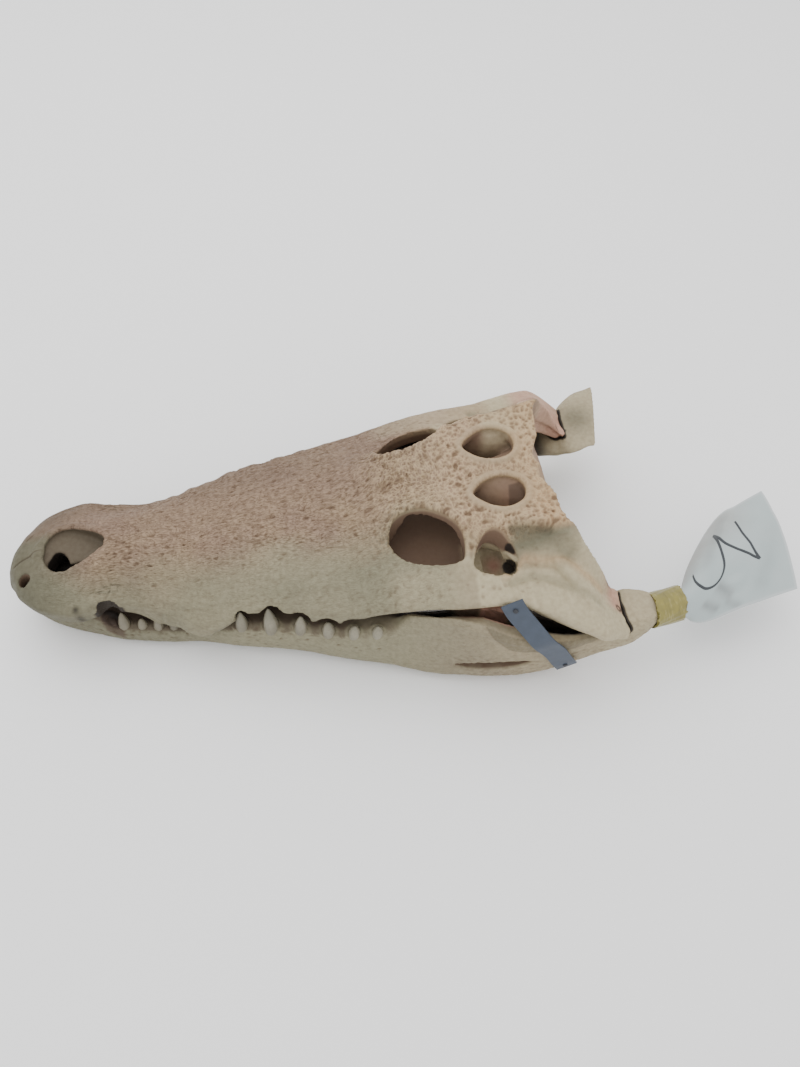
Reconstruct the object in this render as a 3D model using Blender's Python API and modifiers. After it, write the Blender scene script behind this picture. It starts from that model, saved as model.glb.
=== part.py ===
# A crocodile skull with its lower jaw closed under it, as a museum keeps it.
# A strap pinned to the left cheek holds the jaw shut, and a paper label is taped
# to the left jaw's rear end. Modelled in metres, snout towards -X, +Z up,
# the left side towards -Y, resting on the plane z = 0.
# Rails and outlines are in millimetres behind the snout tip, and MM scales them.

import math

import bmesh
import bpy
from mathutils import Vector
from mathutils.bvhtree import BVHTree

MM = 0.001
GAP = 0.3            # between neighbouring bones, in mm
GROW = 0.5           # how far a neighbour is swollen before it is cut away
VOXEL = 2.0          # grain of the blended bone before it is simplified
BLEND_ROUNDS = 3     # smoothing passes that melt the joined forms together
SKULL_TRIANGLES = 5800
JAW_TRIANGLES = 1250
PALATE_TRIANGLES = 520
JAW_SHIFT = -4.0     # the lower jaw sits this far towards the left side

# Rails of the upper skull, from the midline of the roof to the tooth row.
CREST_Z = [(0, 47), (4, 56), (12, 63), (25, 67), (40, 70), (58, 73), (78, 77), (130, 77), (160, 80),
           (190, 85), (220, 90), (250, 97), (275, 105), (300, 116), (322, 123), (345, 128), (380, 130),
           (415, 131), (440, 92), (470, 60)]
RIDGE_Y = [(0, 5), (12, 14), (30, 20), (100, 22), (150, 28), (250, 30), (300, 25), (345, 31), (380, 37),
           (415, 40), (430, 60), (445, 70), (470, 76)]
RIDGE_Z = [(0, 46), (4, 54), (12, 61), (25, 65), (40, 68), (58, 71), (78, 75), (130, 75), (160, 79),
           (190, 84), (220, 89), (250, 96), (275, 107), (300, 123), (322, 128), (345, 130), (380, 132),
           (415, 134), (430, 112), (445, 92), (458, 74), (470, 61)]
EDGE_Y = [(0, 9), (12, 23), (30, 35), (55, 40), (78, 36), (100, 38), (125, 47), (150, 54), (190, 54),
          (240, 58), (275, 54), (300, 41), (322, 43), (345, 46), (365, 52), (390, 57), (415, 61),
          (430, 70), (445, 76), (470, 82)]
EDGE_Z = [(0, 45), (4, 51), (12, 57), (30, 61), (55, 64), (78, 64), (100, 62), (130, 62), (150, 66),
          (175, 73), (200, 79), (240, 85), (275, 94), (300, 107), (322, 118), (345, 127), (380, 131),
          (415, 135), (425, 121), (435, 107), (445, 94), (458, 76), (470, 62)]
FLANK_DIP = [(0, 0), (300, 0), (325, 4), (350, 11), (385, 17), (410, 16), (430, 9), (455, 2), (470, 0)]
SIDE_Y = [(0, 12), (12, 29), (30, 44), (55, 51), (76, 45), (98, 47), (125, 57), (146, 67), (165, 69),
          (185, 68), (205, 71), (230, 77), (262, 83), (285, 86), (315, 90), (342, 93), (368, 95),
          (396, 104), (407, 109), (420, 115), (433, 120), (446, 121), (458, 119), (470, 112)]
SIDE_Z = [(0, 43), (12, 51), (30, 55), (55, 57), (76, 62), (98, 55), (125, 49), (146, 48), (165, 58),
          (180, 67), (200, 71), (230, 72), (262, 76), (285, 82), (315, 89), (342, 93), (368, 95),
          (396, 93), (420, 87), (433, 82), (446, 77), (458, 70), (470, 60)]
MARGIN_Y = [(0, 13), (4, 17), (12, 27), (25, 38), (40, 45), (55, 47), (66, 46), (95, 46), (108, 50),
            (120, 56), (135, 64), (148, 68), (165, 68), (185, 67), (205, 69), (220, 73), (240, 79),
            (262, 81), (285, 80), (315, 81), (330, 84), (350, 87), (368, 89), (385, 92), (400, 97),
            (410, 103), (420, 108), (433, 113), (446, 117), (458, 117), (470, 109)]
MARGIN_Z = [(0, 39), (12, 38), (30, 38), (55, 37), (70, 42), (84, 46), (100, 38), (118, 29), (135, 28),
            (148, 34), (160, 42), (168, 50), (176, 58), (190, 62), (212, 63), (228, 58), (248, 58),
            (262, 61), (285, 69), (297, 73), (315, 75), (330, 73), (350, 76), (368, 78), (385, 76),
            (400, 68), (410, 67), (420, 65), (433, 62), (446, 60), (458, 60), (470, 58)]
PALATE_RISE = 9.0    # the palate lies this far above the tooth row
TOOTH_ROW = 15.0     # width of the tooth-bearing rim
SKULL_END = 469
END_BLEND = (432, 462)   # over this stretch the rear ends take their own outline
END_SHAPE = [(70, -6), (82, -8), (94, -14), (102, -8), (108, -5), (113, -6), (120, -14)]

# Arches in the tooth row of the upper jaw: x of the crown, half width, foot, rise.
ARCHES = [(178, 7, 57, 13), (200, 10, 60, 16), (220, 8, 61, 12), (239, 8, 56, 15), (258, 8, 58, 12),
          (276, 7, 63, 9)]
NOTCH = (78, 53, 10, 64, 9.5, 13)    # takes the fourth lower tooth: x, y, foot, top, and its two radii
TIP_HOLE = (17.7, 19.7, 20, 80, 4.7, 4.7)
PALATE_HOLE = [(41, 0), (45, 5), (53, 5), (58, 0), (53, -5), (45, -5)]
PALATE_PIT = [(222, 6, 64), (230, 14, 70), (245, 20, 77), (262, 24, 84), (285, 26, 92)]
TEMPLE = (284, 489, 10)      # the hollow under the roof: its start, its end and the bone left above it

# Bodies round the brain, at the jaw joint and in the palate: centre, half width, half height.
BRAINCASE = [((348, 0, 112), 9, 12), ((362, 0, 105), 19, 21), ((380, 0, 103), 26, 24),
             ((394, 0, 106), 32, 23), ((403, 0, 110), 38, 19), ((408, 0, 112), 36, 14)]
CONDYLE = ((404, 0, 96), (8, 9, 8))
BASAL_PLATE = [(104, 398, 9, 22), (88, 399, 6, 23), (70, 397, 5, 20)]    # z, x, half length, half width
QUADRATE = [((396, 50, 110), 12, 9), ((412, 72, 100), 15, 11), ((430, 90, 84), 18, 12),
            ((444, 97, 71), 20, 10), ((453, 98, 64), 20, 8), ((461, 99, 59), 17, 4)]
PALATE_WING = [((374, 0, 80), 37, 5), ((374, 14, 79), 36, 4), ((373, 34, 74), 30, 3.2),
               ((368, 55, 66), 24, 3.4), ((363, 70, 60), 19, 4), ((362, 76, 59), 12, 5)]
PALATINE = [((208, 0, 69), 13, 6), ((240, 0, 73), 16, 6), ((266, 0, 75), 30, 5), ((290, 0, 76), 58, 4.5),
            ((325, 0, 77), 70, 4.5), ((358, 0, 78), 62, 6)]
KEEL = [((376, 0, 84), 12, 7), ((399, 0, 80), 17, 11)]
ECTOPTERYGOID = [((338, 84, 84), 9, 6), ((344, 76, 74), 7, 6), ((352, 66, 64), 9, 5)]

# Rails of one lower jaw branch. The right one flares out at its end.
JAW_OUT = [(3, 6), (8, 13), (16, 20), (30, 28), (50, 36), (75, 45), (108, 51), (139, 55), (171, 64),
           (216, 73), (251, 83), (293, 94), (330, 105), (362, 111), (385, 113), (409, 112), (435, 109),
           (455, 108), (466, 109), (480, 105), (488, 100.5), (496, 98)]
JAW_IN = [(3, 0), (64, 0), (76, 14), (100, 29), (130, 35), (160, 39), (190, 42), (220, 47), (250, 57),
          (280, 69), (310, 74), (340, 76), (370, 78), (400, 80), (430, 78), (450, 74), (466, 72),
          (480, 76), (488, 80), (496, 82)]
JAW_EDGE_Y = [(280, 79), (290, 83), (300, 85), (310, 88), (320, 91), (330, 95), (340, 99.5), (350, 104),
              (360, 107), (370, 109), (380, 110.5), (400, 111), (410, 110.5), (430, 107.5), (450, 106)]
JAW_EDGE_Z = [(280, 56), (290, 62), (300, 67), (310, 71), (320, 74), (335, 76), (350, 75), (360, 71),
              (370, 66.5), (380, 63), (400, 57), (420, 51), (450, 47)]
JAW_RIM_Y = [(280, 74), (300, 78), (310, 81.5), (320, 86), (330, 88.5), (340, 91), (350, 92.3),
             (360, 94.5), (370, 97.3), (380, 99.3), (400, 101.5), (420, 103), (450, 101)]
JAW_RIM_Z = [(280, 57), (300, 67.5), (310, 69.5), (320, 73), (335, 76.5), (350, 76.5), (360, 73),
             (370, 69), (380, 66), (400, 60), (420, 55), (450, 52)]
JAW_SHELF = (278, 298, 432, 456)   # the shelf comes in and goes out over these stretches
JAW_FLARE = [(444, 0), (458, 8), (470, 22), (482, 34), (496, 44)]
JAW_TURN = 0.23      # how far its end face is turned, as a slope
JAW_TURN_Y = 118     # the end face turns about this line
JAW_LOW = [(3, 22), (8, 14), (16, 7), (30, 1), (45, -1.2), (62, 0), (90, 3), (130, 5), (170, 6), (210, 5),
           (250, 3), (290, 1), (325, -1.2), (370, -1.2), (400, 2), (430, 9), (450, 17), (470, 31),
           (487, 48), (496, 51)]
JAW_TOP = [(3, 30), (8, 36), (16, 39), (40, 41), (60, 39), (72, 32), (84, 24), (120, 23), (140, 26),
           (160, 35), (176, 39), (200, 41), (240, 44), (262, 48), (280, 54), (300, 56), (320, 58),
           (350, 69), (370, 69), (390, 62), (415, 56), (436, 56), (456, 59), (464, 64), (472, 66),
           (487, 67), (496, 67)]
JAW_END = 496
JAW_LEAN = (405, 445)        # over this stretch the branch leans over towards its outer side
JAW_SLIT = [(332, 27, 28), (342, 24.5, 31), (356, 24.5, 35.5), (372, 27, 38.5), (384, 31, 38.5),
            (391, 35, 36.5)]
JAW_TROUGH = [(300, 56, 1), (312, 40, 2.5), (330, 32, 4.5), (355, 26, 5), (385, 24, 6.5), (410, 30, 6),
              (430, 44, 3)]  # x, floor, half width

# Lower teeth: x, height, base width. The fourth has been lost.
LOWER_TEETH = [(83, 15, 8), (97, 10, 6), (109, 14, 7), (121, 9, 6), (134, 7, 5.5),
               (175, 16, 9), (197, 21, 11), (219, 14, 9), (240, 11, 8.5), (259, 9, 8), (276, 8, 7.5)]
TOOTH_SIDES = 7
TOOTH_ROOT = 6.0
TOOTH_INSET = 4.5
TOOTH_SHAPE = [(0.0, 1.0), (0.45, 0.86), (0.8, 0.5), (1.0, 0.12)]    # share of the height, of the width
TOOTH_LEAN = 0.2

# Outlines of the openings in the roof, seen from above, on the right side.
FAR = 600            # beyond every part of the skull, for regions and cutters
NOSTRIL = [(29, 0), (32, 12), (39, 19), (50, 20), (61, 16), (71, 11), (80, 3)]
ORBIT = [(287, 40), (290, 31), (299, 26.5), (312, 27), (324, 32), (333, 38.5), (339, 46), (342, 54),
         (340, 62), (328, 64), (314, 62), (301, 57), (291, 49)]
TABLE_HOLE = [(350, 23), (356, 14), (366, 8.5), (377, 7.5), (387, 12), (391, 21), (388, 31), (379, 37),
              (369, 37.5), (358, 32)]
CHEEK_HOLE = [(347, 67), (349, 58), (353, 53), (358, 51), (364, 52.5), (371, 58), (377, 63), (380, 69),
              (376, 75), (366, 75.5), (355, 72.5)]
BEHIND = [(411, -2), (410, 30), (412, 53), (420, 62), (431, 70), (443, 73.5), (453, 76), (462, 78.5),
          (467, 85), (471, 98), (530, 100), (530, -2)]

# Regions that part the skull into its bones, seen from above, on the right side.
PREMAXILLA_BACK = [(75, 90), (79, 42), (86, 24), (101, 9), (103, 0)]
FACE_FRONT = 268
ROOF_SPLIT = 346
CHEEK_SPLIT = 386
CHEEK_SIDE = 60.5
JAW_SPLIT = 300

# Strap on the left side, from the cheek to the lower jaw: its middle line, as (x, z).
STRAP_LINE = [(369, 97), (373.5, 90), (380.5, 82), (387.5, 74), (394.5, 66), (401, 58), (406.5, 50),
              (413, 38), (417.5, 30), (421.5, 22)]
STRAP_WIDTH = 17.0
STRAP_THICKNESS = 1.4
STRAP_LIFT = 0.8     # of its inner face off the bone under its middle
PIN_RADIUS = 2.3
PIN_HEIGHT = 1.2

# Tape round the left end of the lower jaw, and the paper label rolled in it.
# A row of the label is its crest, its width, half its turn in radians, and its heading
# in degrees.
TAPE = [((488, -94.3, 58), 14.5, 13.0), ((500, -92, 58), 14.5, 12.8), ((512, -90, 58), 14.5, 12.5)]
TAPE_THICKNESS = 1.0
LABEL_THICKNESS = 0.8
LABEL = [(498, -92, 68.6, 61, 2.9, 10), (512, -89.8, 68.6, 61, 2.9, 11), (532, -78, 68, 78, 1.8, 14),
         (562, -57, 63, 94, 0.75, 15), (590, -45, 59, 97, 0.42, 10), (621, -35, 56, 100, 0.3, 6)]

# Colours as linear red, green, blue, with the roughness.
BONE = ((0.50, 0.42, 0.30), 0.75)
STRAP_BLUE = ((0.13, 0.18, 0.27), 0.5)
PIN_STEEL = ((0.08, 0.08, 0.09), 0.4)
TAPE_YELLOW = ((0.56, 0.48, 0.20), 0.45)
LABEL_WHITE = ((0.72, 0.75, 0.76), 0.6)


def rail(points, x):
    """The value of a rail at x, on a smooth curve through its points."""
    if x <= points[0][0]:
        return float(points[0][1])
    if x >= points[-1][0]:
        return float(points[-1][1])
    at = next(i for i in range(len(points) - 1) if points[i + 1][0] >= x)
    (x0, v0), (x1, v1) = points[at], points[at + 1]

    def slope(i):
        if i in (0, len(points) - 1):
            return 0.0 if len(points) > 2 and i == 0 else (v1 - v0) / (x1 - x0)
        (xa, va), (xb, vb), (xc, vc) = points[i - 1], points[i], points[i + 1]
        before, after = (vb - va) / (xb - xa), (vc - vb) / (xc - xb)
        return 0.0 if before * after <= 0 else 2 * before * after / (before + after)

    span, t = x1 - x0, (x - x0) / (x1 - x0)
    m0, m1 = slope(at) * span, slope(at + 1) * span
    return ((2 * t**3 - 3 * t**2 + 1) * v0 + (t**3 - 2 * t**2 + t) * m0
            + (3 * t**2 - 2 * t**3) * v1 + (t**3 - t**2) * m1)


def smooth_line(points, steps, closed=False):
    """Points along a Catmull-Rom curve through the given ones."""
    points = [Vector(p) for p in points]
    count = len(points)
    line = []
    for i in range(count if closed else count - 1):
        if closed:
            a, b, c, d = (points[(i + k) % count] for k in (-1, 0, 1, 2))
        else:
            a, b, c, d = (points[min(max(i + k, 0), count - 1)] for k in (-1, 0, 1, 2))
        for step in range(steps):
            t = step / steps
            line.append(0.5 * (2 * b + (c - a) * t + (2 * a - 5 * b + 4 * c - d) * t**2
                               + (3 * b - a - 3 * c + d) * t**3))
    return line if closed else line + [points[-1]]


def new_object(name, mesh):
    obj = bpy.data.objects.new(name, mesh)
    PARTS.objects.link(obj)
    return obj


def mesh_object(name, bm):
    """An object from a bmesh, with its faces turned outwards."""
    bmesh.ops.recalc_face_normals(bm, faces=bm.faces)
    mesh = bpy.data.meshes.new(name)
    bm.to_mesh(mesh)
    bm.free()
    return new_object(name, mesh)


def loft(name, rings):
    """A closed body through rings of points in mm, all with the same count."""
    bm = bmesh.new()
    made = [[bm.verts.new(Vector(p) * MM) for p in ring] for ring in rings]
    count = len(rings[0])
    for ring, following in zip(made, made[1:]):
        for i in range(count):
            j = (i + 1) % count
            bm.faces.new((ring[i], ring[j], following[j], following[i]))
    caps = [bm.faces.new(made[0]), bm.faces.new(made[-1])]
    bmesh.ops.triangulate(bm, faces=caps)
    return mesh_object(name, bm)


def prism(name, outline, low, high, side=1, spread=1.0):
    """An upright cutter over an outline seen from above; spread widens its foot."""
    ring = smooth_line([(x, y) for x, y in outline], 3, closed=True)
    middle = sum(ring, Vector((0, 0))) / len(ring)
    foot = [middle + (p - middle) * spread for p in ring]
    return loft(name, [[(p.x, side * p.y, z) for p in points] for points, z in ((foot, low), (ring, high))])


def block(name, low, high):
    """A plain box between two corners in mm."""
    bm = bmesh.new()
    bmesh.ops.create_cube(bm, size=1.0)
    size = Vector(high) - Vector(low)
    middle = (Vector(high) + Vector(low)) / 2
    for vert in bm.verts:
        vert.co = Vector(c * s + m for c, s, m in zip(vert.co, size, middle)) * MM
    return mesh_object(name, bm)


def limb(name, stations, sides=14):
    """A rounded body along X or Y: each station is (centre, half axis a, half axis b)."""
    first, last = Vector(stations[0][0]), Vector(stations[-1][0])
    along = (last - first).normalized()
    across = Vector((0, 1, 0)) if abs(along.x) > abs(along.y) else Vector((1, 0, 0))
    rings = []
    for centre, a, b in stations:
        ring = []
        for k in range(sides):
            angle = 2 * math.pi * k / sides
            ring.append(Vector(centre) + across * a * math.cos(angle) + Vector((0, 0, b * math.sin(angle))))
        rings.append(ring)
    return loft(name, rings)


def ball(name, centre, radii):
    """An ellipsoid."""
    bm = bmesh.new()
    bmesh.ops.create_uvsphere(bm, u_segments=16, v_segments=10, radius=1.0)
    for vert in bm.verts:
        vert.co = Vector(c * r + m for c, r, m in zip(vert.co, radii, centre)) * MM
    return mesh_object(name, bm)


def evaluated(obj):
    """Makes the object's modifiers part of its mesh."""
    graph = bpy.context.evaluated_depsgraph_get()
    mesh = bpy.data.meshes.new_from_object(obj.evaluated_get(graph))
    obj.modifiers.clear()
    obj.data = mesh
    return obj


def remove(*objects):
    for obj in objects:
        bpy.data.objects.remove(obj)


def boolean(target, operation, others, solver="EXACT"):
    """Joins, cuts or intersects the target with closed bodies, in one Boolean."""
    group = bpy.data.collections.new("tools")
    for other in others:
        group.objects.link(other)
    modifier = target.modifiers.new("Boolean", "BOOLEAN")
    modifier.operation = operation
    modifier.solver = solver
    modifier.operand_type = "COLLECTION"
    modifier.collection = group
    bpy.context.scene.collection.children.link(group)
    bpy.context.view_layer.update()
    evaluated(target)
    bpy.data.collections.remove(group)
    remove(*others)
    return target


def copied(obj, name):
    return new_object(name, obj.data.copy())


def grown(obj, distance=GROW):
    """A swollen copy, to cut a neighbour clear of this one."""
    copy = copied(obj, obj.name + "_grown")
    modifier = copy.modifiers.new("Displace", "DISPLACE")
    modifier.strength = distance * MM
    modifier.mid_level = 0.0
    return evaluated(copy)


def blended(obj, triangles, voxel=VOXEL):
    """Melts a body into one skin and simplifies it to about so many triangles."""
    remesh = obj.modifiers.new("Remesh", "REMESH")
    remesh.mode = "VOXEL"
    remesh.voxel_size = voxel * MM
    smooth = obj.modifiers.new("Smooth", "SMOOTH")
    smooth.iterations = BLEND_ROUNDS
    evaluated(obj)
    count = sum(len(face.vertices) - 2 for face in obj.data.polygons)
    decimate = obj.modifiers.new("Decimate", "DECIMATE")
    decimate.ratio = min(1.0, triangles / count)
    return evaluated(obj)


def largest_body(obj):
    """Keeps only the largest closed surface of the object."""
    bm = bmesh.new()
    bm.from_mesh(obj.data)
    left = set(bm.verts)
    best, best_volume = None, -1.0
    while left:
        stack = [left.pop()]
        found = {stack[0]}
        while stack:
            for edge in stack.pop().link_edges:
                for vert in edge.verts:
                    if vert in left:
                        left.discard(vert)
                        found.add(vert)
                        stack.append(vert)
        low = Vector(min(v.co[k] for v in found) for k in range(3))
        high = Vector(max(v.co[k] for v in found) for k in range(3))
        volume = (high - low).length
        if volume > best_volume:
            best, best_volume = found, volume
    bmesh.ops.delete(bm, geom=[v for v in bm.verts if v not in best], context="VERTS")
    bm.to_mesh(obj.data)
    bm.free()
    return obj


def upper_half(x):
    """Half a cross-section of the upper skull, from the roof to the palate."""
    foot, out = rail(MARGIN_Z, x), rail(MARGIN_Y, x)
    rim = min(TOOTH_ROW, 0.5 * out)
    edge, side = Vector((rail(EDGE_Y, x), rail(EDGE_Z, x))), Vector((rail(SIDE_Y, x), rail(SIDE_Z, x)))
    flank = edge.lerp(side, 0.35) - Vector((0, rail(FLANK_DIP, x)))
    return [(0, rail(CREST_Z, x)), (rail(RIDGE_Y, x), rail(RIDGE_Z, x)), edge, flank, side, (out, foot + 2),
            (out - 2.5, foot - 1), (out - rim * 0.7, foot), (out - rim, foot + PALATE_RISE),
            (0, foot + PALATE_RISE + 1)]


def whole_ring(x, half):
    """A closed ring at x from half a section, mirrored."""
    line = smooth_line(half, 3)
    share = min(1.0, max(0.0, (x - END_BLEND[0]) / (END_BLEND[1] - END_BLEND[0])))
    right = [(x + share * rail(END_SHAPE, p.x), p.x, p.y) for p in line]
    left = [(along, -y, z) for along, y, z in reversed(right[1:-1])]
    return right + left


def make_upper_form():
    """The outer form of the upper skull before it is opened."""
    stations = [0, 1.5, 4, 8] + list(range(13, SKULL_END, 4)) + [SKULL_END]
    rings = []
    for x in stations:
        rings.append(whole_ring(x, upper_half(x)))
    tip = rings[0]
    middle = sum((Vector(p) for p in tip), Vector()) / len(tip)
    rings[0] = [middle + (Vector(p) - middle) * 0.7 for p in tip]
    return loft("skull", rings)


def cavity(name, start, end, inset, step=6):
    """The hollow under the roof, which opens downwards."""
    rings = []
    for x in list(range(start, end, step)) + [end]:
        half = upper_half(x)
        closing = min(1.0, 0.35 + (x - start) / 30)
        top = [(y * closing, z - inset) for y, z in half[:2]]
        edge = [((half[2][0] - 5) * closing, half[2][1] - inset)]
        wall = [((half[k][0] - inset) * closing, half[k][1] - inset) for k in (3, 4)]
        foot = [((half[5][0] - inset) * closing, 20), (0, 20)]
        rings.append([(x, y, z) for y, z in top + edge + wall + foot]
                     + [(x, -y, z) for y, z in reversed((top + edge + wall + foot)[1:-1])])
    return loft(name, rings)


def palate_pit(name, side):
    """The front of the opening in the palate below each eye socket."""
    rings = []
    for x, reach, roof in PALATE_PIT:
        middle = 0.5 * (17 + rail(MARGIN_Y, x) - 20)
        section = ((-reach, 30), (-reach, roof - 6), (-reach * 0.5, roof), (reach * 0.5, roof),
                   (reach, roof - 8), (reach, 30))
        rings.append([(x, side * (middle + dy), z) for dy, z in section])
    return loft(name, rings)


def make_cutters():
    """Everything that is taken out of the upper form."""
    nostril = NOSTRIL + [(x, -y) for x, y in reversed(NOSTRIL[1:])]
    cutters = [prism("nostril", nostril, 49, 110, spread=0.8),
               prism("palate_hole", PALATE_HOLE, 20, 60),
               cavity("temple", *TEMPLE)]
    for side in (1, -1):
        cutters += [
            prism("orbit", ORBIT, 60, 160, side, spread=0.95),
            prism("table_hole", TABLE_HOLE, 90, 160, side, spread=0.9),
            prism("cheek_hole", CHEEK_HOLE, 60, 160, side),
            prism("behind", BEHIND, 0, 170, side),
            upright_round("tip_hole", side, *TIP_HOLE),
            palate_pit("palate_pit", side),
            upright_round("notch", side, *NOTCH),
        ]
        for x, half, foot, rise in ARCHES:
            out = rail(MARGIN_Y, x)
            cutters.append(limb("arch", [((x, side * (out - 11), foot), half, rise * 0.6),
                                         ((x, side * (out + 14), foot), half, rise)]))
    return cutters


def upright_round(name, side, x, y, low, high, rx, ry, sides=14):
    """An upright rounded column with a domed top."""
    rings = []
    for z, share in ((low, 1.0), (high - rx * 0.8, 1.0), (high - rx * 0.25, 0.75), (high, 0.25)):
        rings.append([(x + rx * share * math.cos(2 * math.pi * k / sides),
                       side * y + ry * share * math.sin(2 * math.pi * k / sides), z) for k in range(sides)])
    return loft(name, rings)


def make_braincase():
    """The bone round the brain under the roof, with the neck joint behind it."""
    corners = ((-1, -1), (1, -1), (1, 1), (-1, 1))
    plate = [[(x + kx * hx, ky * hy, z) for kx, ky in corners] for z, x, hx, hy in BASAL_PLATE]
    return [limb("brain", BRAINCASE), ball("condyle", *CONDYLE), loft("basal_plate", plate)]


def on_side(stations, side):
    """The stations of a limb, mirrored when they are for the left side."""
    return [((x, side * y, z), a, b) for (x, y, z), a, b in stations]


def make_quadrates():
    """The struts that carry the jaw joints."""
    return [limb("quadrate", on_side(QUADRATE, side), sides=18) for side in (1, -1)]


def make_palate():
    """Palatine bar, pterygoid wings and the struts to the cheeks, as one body."""
    left = on_side(reversed(PALATE_WING[1:]), -1)
    wings = limb("palate", left + PALATE_WING, sides=16)
    pieces = [limb("palatine", PALATINE), limb("keel", KEEL)]
    pieces += [limb("ectopterygoid", on_side(ECTOPTERYGOID, side)) for side in (1, -1)]
    return boolean(wings, "UNION", pieces)


def make_upper_skull():
    """The upper skull in one piece, opened, with its braincase."""
    skull = make_upper_form()
    boolean(skull, "DIFFERENCE", make_cutters())
    boolean(skull, "UNION", make_braincase() + make_quadrates())
    return blended(skull, SKULL_TRIANGLES)


def jaw_ring(x, side):
    """A cross-section of one lower jaw branch."""
    flare = rail(JAW_FLARE, x) if side > 0 else 0.0
    out, into = rail(JAW_OUT, x) + flare, rail(JAW_IN, x) - flare / 4
    low, top = rail(JAW_LOW, x), rail(JAW_TOP, x)
    tall, wide = top - low, out - into
    lean = min(1.0, max(0.0, (x - JAW_LEAN[0]) / (JAW_LEAN[1] - JAW_LEAN[0])))
    shelf = min(1.0, max(0.0, (x - JAW_SHELF[0]) / (JAW_SHELF[1] - JAW_SHELF[0])),
                max(0.0, (JAW_SHELF[3] - x) / (JAW_SHELF[3] - JAW_SHELF[2])))
    edge = Vector((out - wide * 0.02, low + tall * 0.76))
    edge = edge.lerp(Vector((rail(JAW_EDGE_Y, x), rail(JAW_EDGE_Z, x))), shelf)
    rim = Vector((out - wide * 0.24, top)).lerp(Vector((rail(JAW_RIM_Y, x), rail(JAW_RIM_Z, x))), shelf)
    half = [(into + wide * (0.45 + 0.4 * lean), low), (out - wide * 0.14, low + tall * 0.07),
            (out, low + tall * 0.34), edge, rim, (into + wide * 0.16, top), (into, low + tall * 0.82),
            (into + wide * 0.6 * lean, low + tall * 0.3),
            (into + wide * (0.12 + 0.65 * lean), low + tall * 0.06)]
    if into < 1:
        half = [(y if i == 0 else max(y, -1.0), z) for i, (y, z) in enumerate(half)]
    turn = JAW_TURN * max(0.0, (x - JAW_FLARE[0][0]) / (JAW_END - JAW_FLARE[0][0])) if side > 0 else 0.0
    line = smooth_line(half, 3, closed=True)
    return [(x + turn * (p.x - JAW_TURN_Y), side * p.x + JAW_SHIFT, p.y) for p in line]


def jaw_cutters(side):
    """The slit in the side wall of a branch, and the trough for the jaw muscles."""
    slit = []
    for x, low, high in JAW_SLIT:
        corners = ((99, low), (130, low), (130, high), (99, high))
        slit.append([(x, side * y + JAW_SHIFT, z) for y, z in corners])
    trough = []
    for x, floor, half in JAW_TROUGH:
        middle = rail(JAW_RIM_Y, x) - half - 2
        trough.append([(x, side * (middle + dy) + JAW_SHIFT, z) for dy, z in
                       ((-half, floor), (half, floor), (half, 90), (-half, 90))])
    return [loft("slit", slit), loft("trough", trough)]


def make_jaw(side):
    """One lower jaw branch, from the chin to the process behind the joint."""
    name = "jaw_" + ("right" if side > 0 else "left")
    stations = [3, 5, 8, 12] + list(range(16, JAW_END, 5)) + [JAW_END]
    jaw = loft(name, [jaw_ring(x, side) for x in stations])
    boolean(jaw, "DIFFERENCE", jaw_cutters(side))
    blended(jaw, JAW_TRIANGLES)
    half = sorted((JAW_SHIFT + side * GAP / 2, side * FAR))
    return boolean(jaw, "INTERSECT", [block("half", (-FAR, half[0], 0), (FAR, half[1], FAR))])


def tooth(x, height, width, side):
    """A conical lower tooth, leaning slightly in."""
    y, top = rail(JAW_OUT, x) - TOOTH_INSET, rail(JAW_TOP, x)
    rings = []
    for share, size in [(-TOOTH_ROOT / height, 0.92)] + TOOTH_SHAPE:
        radius = width / 2 * size
        lean = TOOTH_LEAN * max(share, 0) * height
        ring = []
        for k in range(TOOTH_SIDES):
            angle = 2 * math.pi * k / TOOTH_SIDES
            out = y - lean + 0.9 * radius * math.sin(angle)
            place = side * out + JAW_SHIFT
            ring.append((x + radius * math.cos(angle), place, top - 1.5 + share * (height + 1.5)))
        rings.append(ring)
    return loft("tooth", rings)


def parted(source, name, region):
    """The piece of a body inside a region, as its own bone."""
    return largest_body(boolean(copied(source, name), "INTERSECT", [region]))


def make_bones(skull):
    """Parts the upper skull at its main seams."""
    g = GAP / 2
    back = PREMAXILLA_BACK + [(x, -y) for x, y in reversed(PREMAXILLA_BACK[:-1])]

    def flat(name, outline):
        return loft(name, [[(x, y, z) for x, y in outline] for z in (-5, FAR)])

    tip = [(x - g, y) for x, y in back] + [(-20, -90), (-20, 90)]
    middle = [(x + g, y) for x, y in back] + [(FACE_FRONT - g, -90), (FACE_FRONT - g, 90)]
    bones = [parted(skull, "premaxilla", flat("r", tip)), parted(skull, "snout", flat("r", middle))]
    side = CHEEK_SIDE - g
    bones += [
        parted(skull, "forehead", block("r", (FACE_FRONT + g, -side, 0), (ROOF_SPLIT - g, side, FAR))),
        parted(skull, "skull_table", block("r", (ROOF_SPLIT + g, -side, 0), (FAR, side, FAR)))]
    for name, sign in (("left", -1), ("right", 1)):
        low, high = sorted((sign * (CHEEK_SIDE + g), sign * FAR))
        cheek = block("r", (FACE_FRONT + g, low, 0), (CHEEK_SPLIT - g, high, FAR))
        joint = block("r", (CHEEK_SPLIT + g, low, 0), (FAR, high, FAR))
        bones += [parted(skull, "cheek_" + name, cheek), parted(skull, "jaw_joint_" + name, joint)]
    remove(skull)
    return bones


def box_of(obj):
    points = [vert.co for vert in obj.data.vertices]
    return (Vector(min(p[k] for p in points) for k in range(3)),
            Vector(max(p[k] for p in points) for k in range(3)))


def boxes_meet(a, b):
    (low_a, high_a), (low_b, high_b) = box_of(a), box_of(b)
    return all(low_a[k] < high_b[k] + MM and low_b[k] < high_a[k] + MM for k in range(3))


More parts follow.
